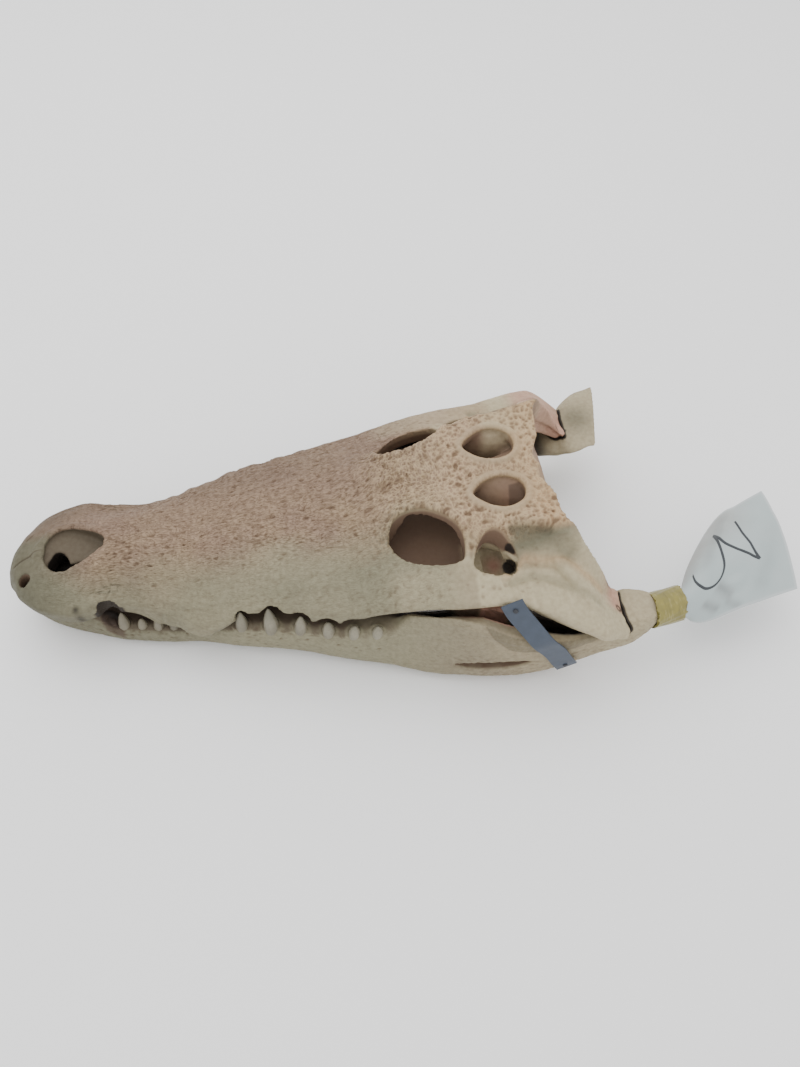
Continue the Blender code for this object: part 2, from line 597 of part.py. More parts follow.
def clear_of(piece, others):
    """Cuts a piece clear of its neighbours by a thin gap."""
    near = [grown(other) for other in others if boxes_meet(piece, other)]
    if near:
        largest_body(boolean(piece, "DIFFERENCE", near, "MANIFOLD"))
    return piece


def make_lower_jaw(upper_bones):
    """The four bones of the lower jaw, with their teeth, clear of the upper skull."""
    bones = []
    for side, name in ((-1, "left"), (1, "right")):
        jaw = make_jaw(side)
        ahead = block("r", (-FAR, -FAR, -5), (JAW_SPLIT - GAP / 2, FAR, FAR))
        behind = block("r", (JAW_SPLIT + GAP / 2, -FAR, -5), (FAR, FAR, FAR))
        front, rear = parted(jaw, "dentary_" + name, ahead), parted(jaw, "jaw_rear_" + name, behind)
        remove(jaw)
        boolean(front, "UNION", [tooth(*row, side) for row in LOWER_TEETH])
        bones += [clear_of(front, upper_bones), clear_of(rear, upper_bones)]
    return bones


def reach_of(trees, x, z):
    """How far out the bones reach on the left at a place seen from the side, in mm."""
    hits = [tree.ray_cast(Vector((x, -200, z)) * MM, Vector((0, 1, 0)))[0] for tree in trees]
    hits = [hit.y / MM for hit in hits if hit and hit.y < 0]
    return min(hits) if hits else None


def strap_path(bones):
    """The strap's middle line with the direction across it, resting on the bones."""
    meshes = [bone.data for bone in bones]
    trees = [BVHTree.FromPolygons([v.co for v in mesh.vertices], [p.vertices for p in mesh.polygons])
             for mesh in meshes]
    flat = smooth_line(STRAP_LINE, 3)
    ahead = (flat[-1] - flat[0]).normalized()
    across = Vector((-ahead.y, ahead.x))
    reach = []
    for point in flat:
        places = [point + across * STRAP_WIDTH / 2 * share for share in (-1, -0.5, 0, 0.5, 1)]
        found = [reach_of(trees, *place) for place in places]
        found = [value for value in found if value is not None and value < -80]
        reach.append(min(found) if found else None)
    path = [Vector((point.x, y, point.y)) for point, y in zip(flat, pulled_tight(reach))]
    return path, Vector((across.x, 0, across.y))


def pulled_tight(reach):
    """How far out a taut strap lies where it may span the hollows and the gaps, which are None."""
    held = [i for i, value in enumerate(reach) if value is not None]
    tight = []
    for i in range(len(reach)):
        spans = [(j, k) for j in held for k in held if j <= i <= k]
        tight.append(min(reach[j] + (reach[k] - reach[j]) * (i - j) / max(k - j, 1) for j, k in spans))
    return tight


def pin(name, centre, axis):
    """A low domed pin head on the strap."""
    rings = []
    side = axis.orthogonal().normalized()
    other = axis.cross(side)
    for height, size in ((0.0, 1.0), (0.6, 1.0), (0.9, 0.75), (1.0, 0.4)):
        middle = centre + axis * height * PIN_HEIGHT
        angles = [2 * math.pi * k / 12 for k in range(12)]
        radius = PIN_RADIUS * size
        rings.append([middle + (side * math.cos(a) + other * math.sin(a)) * radius for a in angles])
    return loft(name, rings)


def make_strap(cheek, joint, jaw):
    """The strap that holds the jaw shut on the left, and its two pins."""
    path, across = strap_path([cheek, joint, jaw])
    rings, outs = [], []
    for i, point in enumerate(path):
        ahead = path[min(i + 1, len(path) - 1)] - path[max(i - 1, 0)]
        out = across.cross(ahead).normalized()
        out = -out if out.y > 0 else out
        half = across * STRAP_WIDTH / 2
        base, face = out * STRAP_LIFT, out * (STRAP_LIFT + STRAP_THICKNESS)
        rings.append([point - half + base, point + half + base, point + half + face, point - half + face])
        outs.append(out)
    strap = clear_of(loft("jaw_strap", rings), [cheek, joint, jaw])
    pins = []
    for name, at in (("strap_pin_top", 2), ("strap_pin_bottom", -3)):
        pins.append(pin(name, path[at] + outs[at] * (STRAP_LIFT + STRAP_THICKNESS + GAP), outs[at]))
    return [strap] + pins


def oval(centre, a, b, sides=20):
    """A ring of points round a centre, in the plane across the jaw."""
    angles = [2 * math.pi * k / sides for k in range(sides)]
    return [Vector(centre) + Vector((0, a * math.cos(angle), b * math.sin(angle))) for angle in angles]


def make_tape():
    """The tape sleeve round the end of the left jaw branch."""
    sleeve = loft("tape", [oval(*row) for row in TAPE])
    inner = []
    for i, (centre, a, b) in enumerate(TAPE):
        shift = (-2, 0, 2)[i]
        inner.append(oval(Vector(centre) + Vector((shift, 0, 0)), a - TAPE_THICKNESS, b - TAPE_THICKNESS))
    return boolean(sleeve, "DIFFERENCE", [loft("bore", inner)])


def make_label():
    """The paper label: a sheet rolled into the tape at one end and flat at the other."""
    columns = 11
    bm = bmesh.new()
    rows = []
    for x, y, z, width, turn, heading in smooth_line(LABEL, 2):
        across = Vector((math.sin(math.radians(heading)), math.cos(math.radians(heading)), 0))
        radius = width / 2 / turn
        row = []
        for k in range(columns):
            angle = turn * (2 * k / (columns - 1) - 1)
            offset = across * radius * math.sin(angle) + Vector((0, 0, radius * (math.cos(angle) - 1)))
            row.append(bm.verts.new((Vector((x, y, z)) + offset) * MM))
        rows.append(row)
    for row, following in zip(rows, rows[1:]):
        for k in range(columns - 1):
            bm.faces.new((row[k], row[k + 1], following[k + 1], following[k]))
    bmesh.ops.triangulate(bm, faces=bm.faces)
    mesh = bpy.data.meshes.new("paper_label")
    bm.to_mesh(mesh)
    bm.free()
    label = new_object("paper_label", mesh)
    solid = label.modifiers.new("Solidify", "SOLIDIFY")
    solid.thickness = LABEL_THICKNESS * MM
    solid.offset = 0.0
    return evaluated(label)


def paint(obj, look):
    """Gives an object its own material."""
    colour, roughness = look
    material = bpy.data.materials.new(obj.name)
    material.use_nodes = True
    shader = material.node_tree.nodes["Principled BSDF"]
    shader.inputs["Base Color"].default_value = (*colour, 1.0)
    shader.inputs["Roughness"].default_value = roughness
    obj.data.materials.clear()
    obj.data.materials.append(material)


def settle(objects):
    """Moves the whole so that its origin is under the middle of its box."""
    boxes = [box_of(obj) for obj in objects]
    low = [min(box[0][k] for box in boxes) for k in range(3)]
    high = [max(box[1][k] for box in boxes) for k in range(3)]
    move = Vector(((low[0] + high[0]) / 2, (low[1] + high[1]) / 2, low[2]))
    for obj in objects:
        for vert in obj.data.vertices:
            vert.co -= move


def main():
    skull = make_upper_skull()
    bones = make_bones(skull)
    jaws = make_lower_jaw(bones)
    palate = clear_of(blended(make_palate(), PALATE_TRIANGLES), bones + jaws)
    named = {obj.name: obj for obj in bones + jaws}
    strap = make_strap(named["cheek_left"], named["jaw_joint_left"], named["jaw_rear_left"])
    tape, label = make_tape(), make_label()
    for bone in bones + jaws + [palate]:
        paint(bone, BONE)
    looks = (STRAP_BLUE, PIN_STEEL, PIN_STEEL, TAPE_YELLOW, LABEL_WHITE)
    for obj, look in zip(strap + [tape, label], looks):
        paint(obj, look)
    settle(bones + jaws + [palate, tape, label] + strap)


def clear_scene():
    for obj in list(bpy.data.objects):
        bpy.data.objects.remove(obj)
    for collection in list(bpy.data.collections):
        bpy.data.collections.remove(collection)


clear_scene()
PARTS = bpy.data.collections.new("crocodile_skull")
bpy.context.scene.collection.children.link(PARTS)
main()
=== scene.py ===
import math

import bpy
import numpy as np
from mathutils import Matrix, Vector
from mathutils.bvhtree import BVHTree


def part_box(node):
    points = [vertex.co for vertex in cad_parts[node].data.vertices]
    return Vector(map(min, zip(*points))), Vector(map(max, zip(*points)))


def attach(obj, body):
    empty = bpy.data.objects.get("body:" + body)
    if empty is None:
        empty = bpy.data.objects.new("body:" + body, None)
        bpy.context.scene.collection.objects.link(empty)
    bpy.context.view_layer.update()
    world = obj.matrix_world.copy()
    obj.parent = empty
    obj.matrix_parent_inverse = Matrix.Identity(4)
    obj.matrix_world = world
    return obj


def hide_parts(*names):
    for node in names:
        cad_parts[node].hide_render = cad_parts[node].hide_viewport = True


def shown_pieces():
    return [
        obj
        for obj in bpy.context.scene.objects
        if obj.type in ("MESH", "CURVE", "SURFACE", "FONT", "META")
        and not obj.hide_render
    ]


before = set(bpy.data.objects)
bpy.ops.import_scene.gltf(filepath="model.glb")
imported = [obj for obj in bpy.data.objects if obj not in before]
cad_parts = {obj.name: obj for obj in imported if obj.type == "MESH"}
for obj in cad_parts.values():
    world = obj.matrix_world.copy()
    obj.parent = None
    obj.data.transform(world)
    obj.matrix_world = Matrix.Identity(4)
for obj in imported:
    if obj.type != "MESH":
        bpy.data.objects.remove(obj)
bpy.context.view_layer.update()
print("frame loaded")

# All forms are measured in mm: x back from the snout tip, y to the animal's right, z up from the table.
mm = 0.001
faceFront = 268                  # the forehead node starts here
seamGap = 0.3
sharpEdge = math.radians(50)     # edges that turn more than this stay crisp
foreheadLow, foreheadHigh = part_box("forehead")
tipPlace = Vector((foreheadLow.x - (faceFront + seamGap / 2) * mm, (foreheadLow.y + foreheadHigh.y) / 2, 0))


# helpers for curves and rings

def railAt(points, x):           # a smooth curve through the points, which never overshoots them
    if x <= points[0][0]:
        return float(points[0][1])
    if x >= points[-1][0]:
        return float(points[-1][1])
    at = next(i for i in range(len(points) - 1) if points[i + 1][0] >= x)
    (x0, v0), (x1, v1) = points[at], points[at + 1]

    def slope(i):
        if i == 0:
            return 0.0
        if i == len(points) - 1:
            return (v1 - v0) / (x1 - x0)
        (xa, va), (xb, vb), (xc, vc) = points[i - 1], points[i], points[i + 1]
        before, after = (vb - va) / (xb - xa), (vc - vb) / (xc - xb)
        return 0.0 if before * after <= 0 else 2 * before * after / (before + after)

    span, t = x1 - x0, (x - x0) / (x1 - x0)
    m0, m1 = slope(at) * span, slope(at + 1) * span
    return ((2 * t**3 - 3 * t**2 + 1) * v0 + (t**3 - 2 * t**2 + t) * m0
            + (3 * t**2 - 2 * t**3) * v1 + (t**3 - t**2) * m1)


def railArray(points, x):
    at = np.arange(points[0][0], points[-1][0] + 1.0)
    return np.interp(x, at, [railAt(points, value) for value in at])


def smoothLine(points, steps, closed=False):
    points = [Vector(p) for p in points]
    count = len(points)
    line = []
    for i in range(count if closed else count - 1):
        if closed:
            a, b, c, d = (points[(i + k) % count] for k in (-1, 0, 1, 2))
        else:
            a, b, c, d = (points[min(max(i + k, 0), count - 1)] for k in (-1, 0, 1, 2))
        for step in range(steps):
            t = step / steps
            line.append(0.5 * (2 * b + (c - a) * t + (2 * a - 5 * b + 4 * c - d) * t**2
                               + (3 * b - a - 3 * c + d) * t**3))
    return line if closed else line + [points[-1]]


# helpers that work on pieces the way a user would

def pick(piece):
    bpy.ops.object.select_all(action="DESELECT")
    piece.select_set(True)
    bpy.context.view_layer.objects.active = piece


def readAll(items, what):        # one vector for each vertex or face
    flat = np.empty(len(items) * 3, np.float32)
    items.foreach_get(what, flat)
    return flat.reshape(-1, 3)


def placesOf(piece):
    return (readAll(piece.data.vertices, "co") - np.array(tipPlace)) / mm


def setPlaces(piece, places):
    flat = (np.asarray(places, float).reshape(-1, 3) * mm + np.array(tipPlace)).astype(np.float32)
    piece.data.vertices.foreach_set("co", flat.ravel())
    piece.data.update()


def normalsOf(piece):
    return readAll(piece.data.vertex_normals, "vector")


def faceMiddles(piece):
    faces = piece.data.polygons
    return (readAll(faces, "center") - np.array(tipPlace)) / mm, readAll(faces, "normal")


def editAll(piece, *steps):      # edit-mode operators on the whole piece, each with its settings
    pick(piece)
    bpy.ops.object.mode_set(mode="EDIT")
    bpy.ops.mesh.select_all(action="SELECT")
    for step, settings in steps:
        step(**settings)
    bpy.ops.object.mode_set(mode="OBJECT")


def applied(piece, kind, **settings):    # one modifier, added and applied at once
    pick(piece)
    modifier = piece.modifiers.new(kind, kind)
    for key, value in settings.items():
        setattr(modifier, key, value)
    bpy.ops.object.modifier_apply(modifier=modifier.name)


def rolledSkin(name, rings):     # a grid rolled up into a closed skin through the rings
    bpy.ops.object.select_all(action="DESELECT")
    bpy.ops.mesh.primitive_grid_add(x_subdivisions=len(rings[0]), y_subdivisions=len(rings) - 1, size=1)
    piece = bpy.context.object
    piece.name = name
    setPlaces(piece, [list(ring) + [ring[0]] for ring in rings])
    editAll(piece,
            (bpy.ops.mesh.remove_doubles, {"threshold": 1e-7}),
            (bpy.ops.mesh.fill_holes, {"sides": 0}),
            (bpy.ops.mesh.normals_make_consistent, {"inside": False}))
    return piece


def prism(name, outline, low, high, side=1, spread=1.0):     # upright, its foot scaled by spread
    ring = smoothLine([(x, y) for x, y in outline], 6, closed=True)
    middle = sum(ring, Vector((0, 0))) / len(ring)
    foot = [middle + (p - middle) * spread for p in ring]
    ends = ((foot, low), (ring, high))
    return rolledSkin(name, [[(p.x, side * p.y, z) for p in points] for points, z in ends])


def roundCorners(count):         # the cosine and sine of each corner of a round
    return [(math.cos(2 * math.pi * k / count), math.sin(2 * math.pi * k / count)) for k in range(count)]


# a rounded bar through the stations, each with its centre, half width and half height
def limb(name, stations, sides=20, steps=3):
    rows = smoothLine([(*centre, a, b) for centre, a, b in stations], steps)
    course = Vector(rows[-1][:3]) - Vector(rows[0][:3])
    across = Vector((0, 1, 0)) if abs(course.x) > abs(course.y) else Vector((1, 0, 0))
    corners = roundCorners(sides)
    rings = []
    for x, y, z, a, b in rows:
        rings.append([Vector((x, y, z)) + across * (a * c) + Vector((0, 0, b * s)) for c, s in corners])
    return rolledSkin(name, rings)


def ball(name, centre, radii):
    bpy.ops.object.select_all(action="DESELECT")
    bpy.ops.mesh.primitive_uv_sphere_add(segments=28, ring_count=18, radius=1)
    piece = bpy.context.object
    piece.name = name
    unit = np.array([vert.co for vert in piece.data.vertices])
    setPlaces(piece, unit * np.array(radii) + np.array(centre))
    return piece


def uprightRound(name, side, x, y, low, high, rx, ry, sides=24):     # an upright round with a domed top
    levels = ((low, 1.0), (high - rx * 0.8, 1.0), (high - rx * 0.4, 0.87), (high - rx * 0.12, 0.6),
              (high, 0.2))
    corners = roundCorners(sides)
    rings = []
    for z, share in levels:
        rings.append([(x + rx * share * c, side * y + ry * share * s, z) for c, s in corners])
    return rolledSkin(name, rings)


def joined(pieces):
    pick(pieces[0])
    for piece in pieces:
        piece.select_set(True)
    bpy.ops.object.join()
    return bpy.context.object


def cut(piece, tools, operation="DIFFERENCE"):   # the tools are used up
    group = bpy.data.collections.new("tools")
    bpy.context.scene.collection.children.link(group)
    for tool in tools:
        group.objects.link(tool)
    bpy.context.view_layer.update()
    applied(piece, "BOOLEAN", operation=operation, solver="MANIFOLD", operand_type="COLLECTION",
            collection=group)
    bpy.data.collections.remove(group)
    for tool in tools:
        bpy.data.objects.remove(tool)
    return piece


def melted(piece, voxel, rounds, factor=0.5):    # overlapping forms run together into one smooth skin
    applied(piece, "REMESH", mode="VOXEL", voxel_size=voxel * mm)
    applied(piece, "SMOOTH", iterations=rounds, factor=factor)
    return piece


def refined(piece, wanted):      # halves the grain of the wanted faces
    pick(piece)
    bpy.ops.object.mode_set(mode="EDIT")
    bpy.ops.mesh.select_mode(type="FACE")
    bpy.ops.mesh.select_all(action="DESELECT")
    bpy.ops.object.mode_set(mode="OBJECT")
    piece.data.polygons.foreach_set("select", wanted)
    bpy.ops.object.mode_set(mode="EDIT")
    bpy.ops.mesh.subdivide(number_cuts=1)
    bpy.ops.object.mode_set(mode="OBJECT")
    applied(piece, "SMOOTH", iterations=1, factor=0.5)
    return piece


def triangleCount(piece):
    return sum(len(face.vertices) - 2 for face in piece.data.polygons)


def thinned(piece, most=190000):         # keeps a piece below the wanted number of triangles
    count = triangleCount(piece)
    if count > most:
        applied(piece, "DECIMATE", ratio=most / count)


# seeded noise and pits, on whole arrays of places in mm

chanceTable = {"size": 8192, "steps": (73856093, 19349663, 83492791)}    # large steps scatter neighbours


def lattice(seed):
    return np.random.default_rng(seed).random(chanceTable["size"])


def drawn(table, i, j, k=0):
    a, b, c = chanceTable["steps"]
    return table[(i * a ^ j * b ^ k * c) & (chanceTable["size"] - 1)]


def cloud(p, size, seed):        # smooth noise from -1 to 1
    q = p / np.array(size, float)
    i = np.floor(q).astype(np.int64)
    f = q - i
    s = f * f * (3 - 2 * f)
    table = lattice(seed)
    total = np.zeros(len(p))
    for dx in (0, 1):
        for dy in (0, 1):
            for dz in (0, 1):
                weight = ((s[:, 0] if dx else 1 - s[:, 0]) * (s[:, 1] if dy else 1 - s[:, 1])
                          * (s[:, 2] if dz else 1 - s[:, 2]))
                total += weight * drawn(table, i[:, 0] + dx, i[:, 1] + dy, i[:, 2] + dz)
    return total * 2 - 1


def pits(u, v, cell, radius, share, seed):      # 1 at the bottom of a pit, 0 between pits
    table, other, third, size = (lattice(seed + k) for k in range(4))
    i, j = np.floor(u / cell[0]).astype(np.int64), np.floor(v / cell[1]).astype(np.int64)
    deepest = np.zeros(len(u))
    for di in (-1, 0, 1):
        for dj in (-1, 0, 1):
            a, b = i + di, j + dj
            cu = (a + 0.5 + 0.8 * (drawn(table, a, b) - 0.5)) * cell[0]
            cv = (b + 0.5 + 0.7 * (drawn(other, a, b) - 0.5)) * cell[1]
            grow = 0.6 + 0.8 * drawn(size, a, b)
            near = ((u - cu) / (radius[0] * grow))**2 + ((v - cv) / (radius[1] * grow))**2
            pit = np.exp(-near**1.5) * (drawn(third, a, b) < share) * np.minimum(1, grow)
            deepest = np.maximum(deepest, pit)
    return deepest


def soft(value, low, high):      # smooth step
    t = np.clip((value - low) / (high - low), 0, 1)
    return t * t * (3 - 2 * t)


def hump(value, middle, width):
    return np.exp(-((value - middle) / width)**2)


def lineDistance(x, y, points, closed=True):    # distance in plan to an outline, negative inside it
    following = points[1:] + points[:1] if closed else points[1:]
    best = np.full(len(x), 1e9)
    inside = np.zeros(len(x), bool)
    for (ax, ay), (bx, by) in zip(points, following):
        dx, dy = bx - ax, by - ay
        t = np.clip(((x - ax) * dx + (y - ay) * dy) / (dx * dx + dy * dy + 1e-9), 0, 1)
        best = np.minimum(best, np.hypot(x - ax - t * dx, y - ay - t * dy))
        if closed and ay != by:
            inside ^= ((ay > y) != (by > y)) & (x < dx * (y - ay) / dy + ax)
    return np.where(inside, -best, best)


def keep(piece, name, values):   # stores a mask that the material reads
    layer = piece.data.attributes.new(name, "FLOAT", "POINT")
    layer.data.foreach_set("value", np.ascontiguousarray(values, np.float32))


# the upper skull

roof = {
    "crestZ": [(0, 47), (4, 56), (12, 63), (25, 67), (40, 70), (58, 73), (78, 77), (130, 77), (160, 80),
               (190, 85), (220, 90), (250, 97), (275, 105), (300, 116), (322, 123), (345, 128),
               (380, 130), (415, 131), (440, 92), (470, 60)],
    "ridgeY": [(0, 5), (12, 14), (30, 20), (100, 22), (150, 28), (250, 30), (300, 25), (345, 31),
               (380, 37), (415, 40), (430, 60), (445, 70), (470, 76)],
    "ridgeZ": [(0, 46), (4, 54), (12, 61), (25, 65), (40, 68), (58, 71), (78, 75), (130, 75), (160, 79),
               (190, 84), (220, 89), (250, 96), (275, 107), (300, 123), (322, 128), (345, 130),
               (380, 132), (415, 134), (430, 112), (445, 92), (458, 74), (470, 61)],
    "edgeY": [(0, 9), (12, 23), (30, 35), (55, 40), (78, 36), (100, 38), (125, 47), (150, 54), (190, 54),
              (240, 58), (275, 54), (300, 41), (322, 43), (345, 46), (365, 52), (390, 57), (415, 61),
              (430, 70), (445, 76), (470, 82)],
    "edgeZ": [(0, 45), (4, 51), (12, 57), (30, 61), (55, 64), (78, 64), (100, 62), (130, 62), (150, 66),
              (175, 73), (200, 79), (240, 85), (275, 94), (300, 107), (322, 118), (345, 127), (380, 131),
              (415, 135), (425, 121), (435, 107), (445, 94), (458, 76), (470, 62)],
    "flankDip": [(0, 0), (300, 0), (325, 4), (350, 11), (385, 17), (410, 16), (430, 9), (455, 2), (470, 0)],
    "sideY": [(0, 12), (12, 29), (30, 44), (55, 51), (76, 45), (98, 47), (125, 57), (146, 67), (165, 69),
              (185, 68), (205, 71), (230, 77), (262, 83), (285, 86), (315, 90), (342, 93), (368, 95),
              (396, 104), (407, 109), (420, 115), (433, 120), (446, 121), (458, 119), (470, 112)],
    "sideZ": [(0, 43), (12, 51), (30, 55), (55, 57), (76, 62), (98, 55), (125, 49), (146, 48), (165, 58),
              (180, 67), (200, 71), (230, 72), (262, 76), (285, 82), (315, 89), (342, 93), (368, 95),
              (396, 93), (420, 87), (433, 82), (446, 77), (458, 70), (470, 60)],
    "marginY": [(0, 13), (4, 17), (12, 27), (25, 38), (40, 45), (55, 47), (66, 46), (95, 46), (108, 50),
                (120, 56), (135, 64), (148, 68), (165, 68), (185, 67), (205, 69), (220, 73), (240, 79),
                (262, 81), (285, 80), (315, 81), (330, 84), (350, 87), (368, 89), (385, 92), (400, 97),
                (410, 103), (420, 108), (433, 113), (446, 117), (458, 117), (470, 109)],
    "marginZ": [(0, 39), (12, 38), (30, 38), (55, 37), (70, 42), (84, 46), (100, 38), (118, 29),
                (135, 28), (148, 34), (160, 42), (168, 50), (176, 58), (190, 62), (212, 63), (228, 58),
                (248, 58), (262, 61), (285, 69), (297, 73), (315, 75), (330, 73), (350, 76), (368, 78),
                (385, 76), (400, 68), (410, 67), (420, 65), (433, 62), (446, 60), (458, 60), (470, 58)],
    "palateRise": 9.0,
    "toothRow": 15.0,
    "end": 469,
    "endBlend": (432, 462),      # over this stretch the rear ends take their own outline
    "endShape": [(70, -6), (82, -8), (94, -14), (102, -8), (108, -5), (113, -6), (120, -14)],
    "grain": 3.0,
    "widest": 126,
    "voxel": 1.25,
    "rounds": 3,
}
openings = {
    "nostril": [(29, 0), (32, 12), (39, 19), (50, 20), (61, 16), (71, 11), (80, 3)],
    "orbit": [(287, 40), (290, 31), (299, 26.5), (312, 27), (324, 32), (333, 38.5), (339, 46), (342, 54),
              (340, 62), (328, 64), (314, 62), (301, 57), (291, 49)],
    "tableHole": [(350, 23), (356, 14), (366, 8.5), (377, 7.5), (387, 12), (391, 21), (388, 31),
                  (379, 37), (369, 37.5), (358, 32)],
    "cheekHole": [(347, 67), (349, 58), (353, 53), (358, 51), (364, 52.5), (371, 58), (377, 63),
                  (380, 69), (376, 75), (366, 75.5), (355, 72.5)],
    "behind": [(411, -2), (410, 30), (412, 53), (420, 62), (431, 70), (443, 73.5), (453, 76), (462, 78.5),
               (467, 85), (471, 98), (530, 100), (530, -2)],
    # x, half length, foot, rise of each arch in the edge of the mouth
    "arches": [(127, 18, 27, 14), (178, 7, 57, 13), (200, 10, 60, 16), (220, 8, 61, 12), (239, 8, 56, 15),
               (258, 8, 58, 12), (276, 7, 63, 9)],
    "notch": (78, 53, 10, 64, 9.5, 13),              # x, y, foot, top, half length, half width
    "tipHole": (17.7, 19.7, 20, 80, 4.7, 4.7),
    "airway": [(34, -9), (36.5, -15), (41.5, -19), (48, -20.5), (53, -19), (51, -13.5), (49.5, -8),
               (47, -3), (43, 1), (38.5, 1), (36, -4)],
    "slit": [(47, -12.5), (53, -13.8), (58, -12), (64, -8.5), (58, -8.8), (52, -10)],
    "palateHole": [(41, 0), (45, 5), (53, 5), (58, 0), (53, -5), (45, -5)],
    "palatePit": [(222, 6, 64), (230, 14, 70), (245, 20, 77), (262, 24, 84), (285, 26, 92)],
    "palateKeel": 17,
    "palateRow": 20,
    "temple": {"start": 284, "past": 20, "inset": 10, "edgeInset": 5, "floor": 20, "opening": 30},
    "levels": {                  # foot, top and how narrow the foot is
        "nostril": (63.5, 110, 0.93),
        "airway": (46, 75, 1.0),
        "slit": (52, 75, 1.0),
        "palateHole": (20, 58, 1.0),
        "orbit": (60, 160, 0.95),
        "tableHole": (90, 160, 0.9),
        "cheekHole": (60, 160, 1.0),
        "behind": (0, 170, 1.0),
    },
}
inside = {                       # bodies under the roof: centre, half width, half height
    "brain": [((348, 0, 112), 9, 12), ((362, 0, 105), 19, 21), ((380, 0, 103), 26, 24),
              ((394, 0, 106), 32, 23), ((403, 0, 110), 38, 19), ((408, 0, 112), 36, 14)],
    "quadrate": [((396, 50, 110), 12, 9), ((412, 72, 100), 15, 11), ((430, 90, 84), 18, 12),
                 ((444, 97, 71), 20, 10), ((453, 98, 64), 20, 8), ((461, 99, 59), 17, 4)],
    "spur": [((384, 67.5, 102), 4.5, 3.2), ((378.5, 64.5, 102), 2.8, 2.4), ((372.5, 60, 102), 1.0, 1.2)],
    "wall": [((352, 40, 106), 5, 16), ((362, 41, 106), 9, 20), ((374, 42, 106), 13, 22),
             ((386, 41, 106), 13, 22), ((398, 37, 106), 10, 20)],
    "neckHole": [((396, 0, 108), 9, 8), ((404, 0, 108), 9, 8), ((420, 0, 109), 9, 8)],
    # z, x, half length, half width
    "basalPlate": [(104, 398, 9, 22), (88, 399, 6, 23), (70, 397, 5, 20)],
    "condyle": ((404, 0, 96), (8, 9, 8)),
}


def upperHalf(x):                # the right half of a cross section, from the crest round to the palate
    foot, out = railAt(roof["marginZ"], x), railAt(roof["marginY"], x)
    rim = min(roof["toothRow"], 0.5 * out)
    edge = Vector((railAt(roof["edgeY"], x), railAt(roof["edgeZ"], x)))
    side = Vector((railAt(roof["sideY"], x), railAt(roof["sideZ"], x)))
    flank = edge.lerp(side, 0.35) - Vector((0, railAt(roof["flankDip"], x)))
    rise = roof["palateRise"]
    ridge = (railAt(roof["ridgeY"], x), railAt(roof["ridgeZ"], x))
    return [(0, railAt(roof["crestZ"], x)), ridge, edge, flank, side,
            (out, foot + 2), (out - 2.5, foot - 1), (out - rim * 0.7, foot), (out - rim, foot + rise),
            (0, foot + rise + 1)]


def share01(value):
    return min(1.0, max(0.0, value))


def endShift(x, y):              # rounds the rear ends of the cheeks in plan
    start, full = roof["endBlend"]
    return share01((x - start) / (full - start)) * railAt(roof["endShape"], abs(y))


def upperForm():
    end = roof["end"]
    rings = []
    for x in [0, 1.0, 2.5, 5, 8] + list(np.arange(11, end, 3.0)) + [end]:
        line = smoothLine(upperHalf(x), 5)
        right = [(x + endShift(x, p.x), p.x, p.y) for p in line]
        rings.append(right + [(back, -y, z) for back, y, z in reversed(right[1:-1])])
    middle = sum((Vector(p) for p in rings[0]), Vector()) / len(rings[0])
    rings[0] = [middle + (Vector(p) - middle) * 0.7 for p in rings[0]]
    return rolledSkin("upperSkull", rings)


def templeHollow():              # the room under the roof, from the orbits to the rear
    room = openings["temple"]
    start, end, inset, floor = room["start"], roof["end"] + room["past"], room["inset"], room["floor"]
    rings = []
    for x in list(range(start, end, 5)) + [end]:
        half = upperHalf(x)
        closing = min(1.0, 0.35 + (x - start) / room["opening"])
        line = [(y * closing, z - inset) for y, z in half[:2]]
        line += [((half[2][0] - room["edgeInset"]) * closing, half[2][1] - inset)]
        line += [((half[k][0] - inset) * closing, half[k][1] - inset) for k in (3, 4)]
        line += [((half[5][0] - inset) * closing, floor), (0, floor)]
        rings.append([(x, y, z) for y, z in line] + [(x, -y, z) for y, z in reversed(line[1:-1])])
    return rolledSkin("temple", rings)


def palatePit(side):
    rings = []
    for x, reach, top in openings["palatePit"]:
        middle = 0.5 * (openings["palateKeel"] + railAt(roof["marginY"], x) - openings["palateRow"])
        section = ((-reach, 30), (-reach, top - 6), (-reach * 0.5, top), (reach * 0.5, top),
                   (reach, top - 8), (reach, 30))
        rings.append([(x, side * (middle + dy), z) for dy, z in section])
    return rolledSkin("palatePit", rings)


def openingTool(name, side=1, outline=None):     # the cutter of one upright opening
    foot, top, spread = openings["levels"][name]
    return prism(name, outline or openings[name], foot, top, side, spread)


def skullTools():
    nostril = openings["nostril"] + [(x, -y) for x, y in reversed(openings["nostril"][1:])]
    tools = [openingTool("nostril", outline=nostril), uprightRound("tipHole", -1, *openings["tipHole"])]
    tools += [openingTool(name) for name in ("airway", "slit", "palateHole")]
    tools += [templeHollow(), limb("neckHole", inside["neckHole"])]
    for side in (1, -1):
        tools += [openingTool(name, side) for name in ("orbit", "tableHole", "cheekHole", "behind")]
        tools += [palatePit(side), uprightRound("notch", side, *openings["notch"])]
        for x, half, foot, rise in openings["arches"]:
            out = railAt(roof["marginY"], x)
            tools.append(limb("arch", [((x, side * (out - 11), foot), half, rise * 0.6),
                                       ((x, side * (out + 14), foot), half, rise)]))
    return tools


def onSide(stations, side):
    return [((x, side * y, z), a, b) for (x, y, z), a, b in stations]


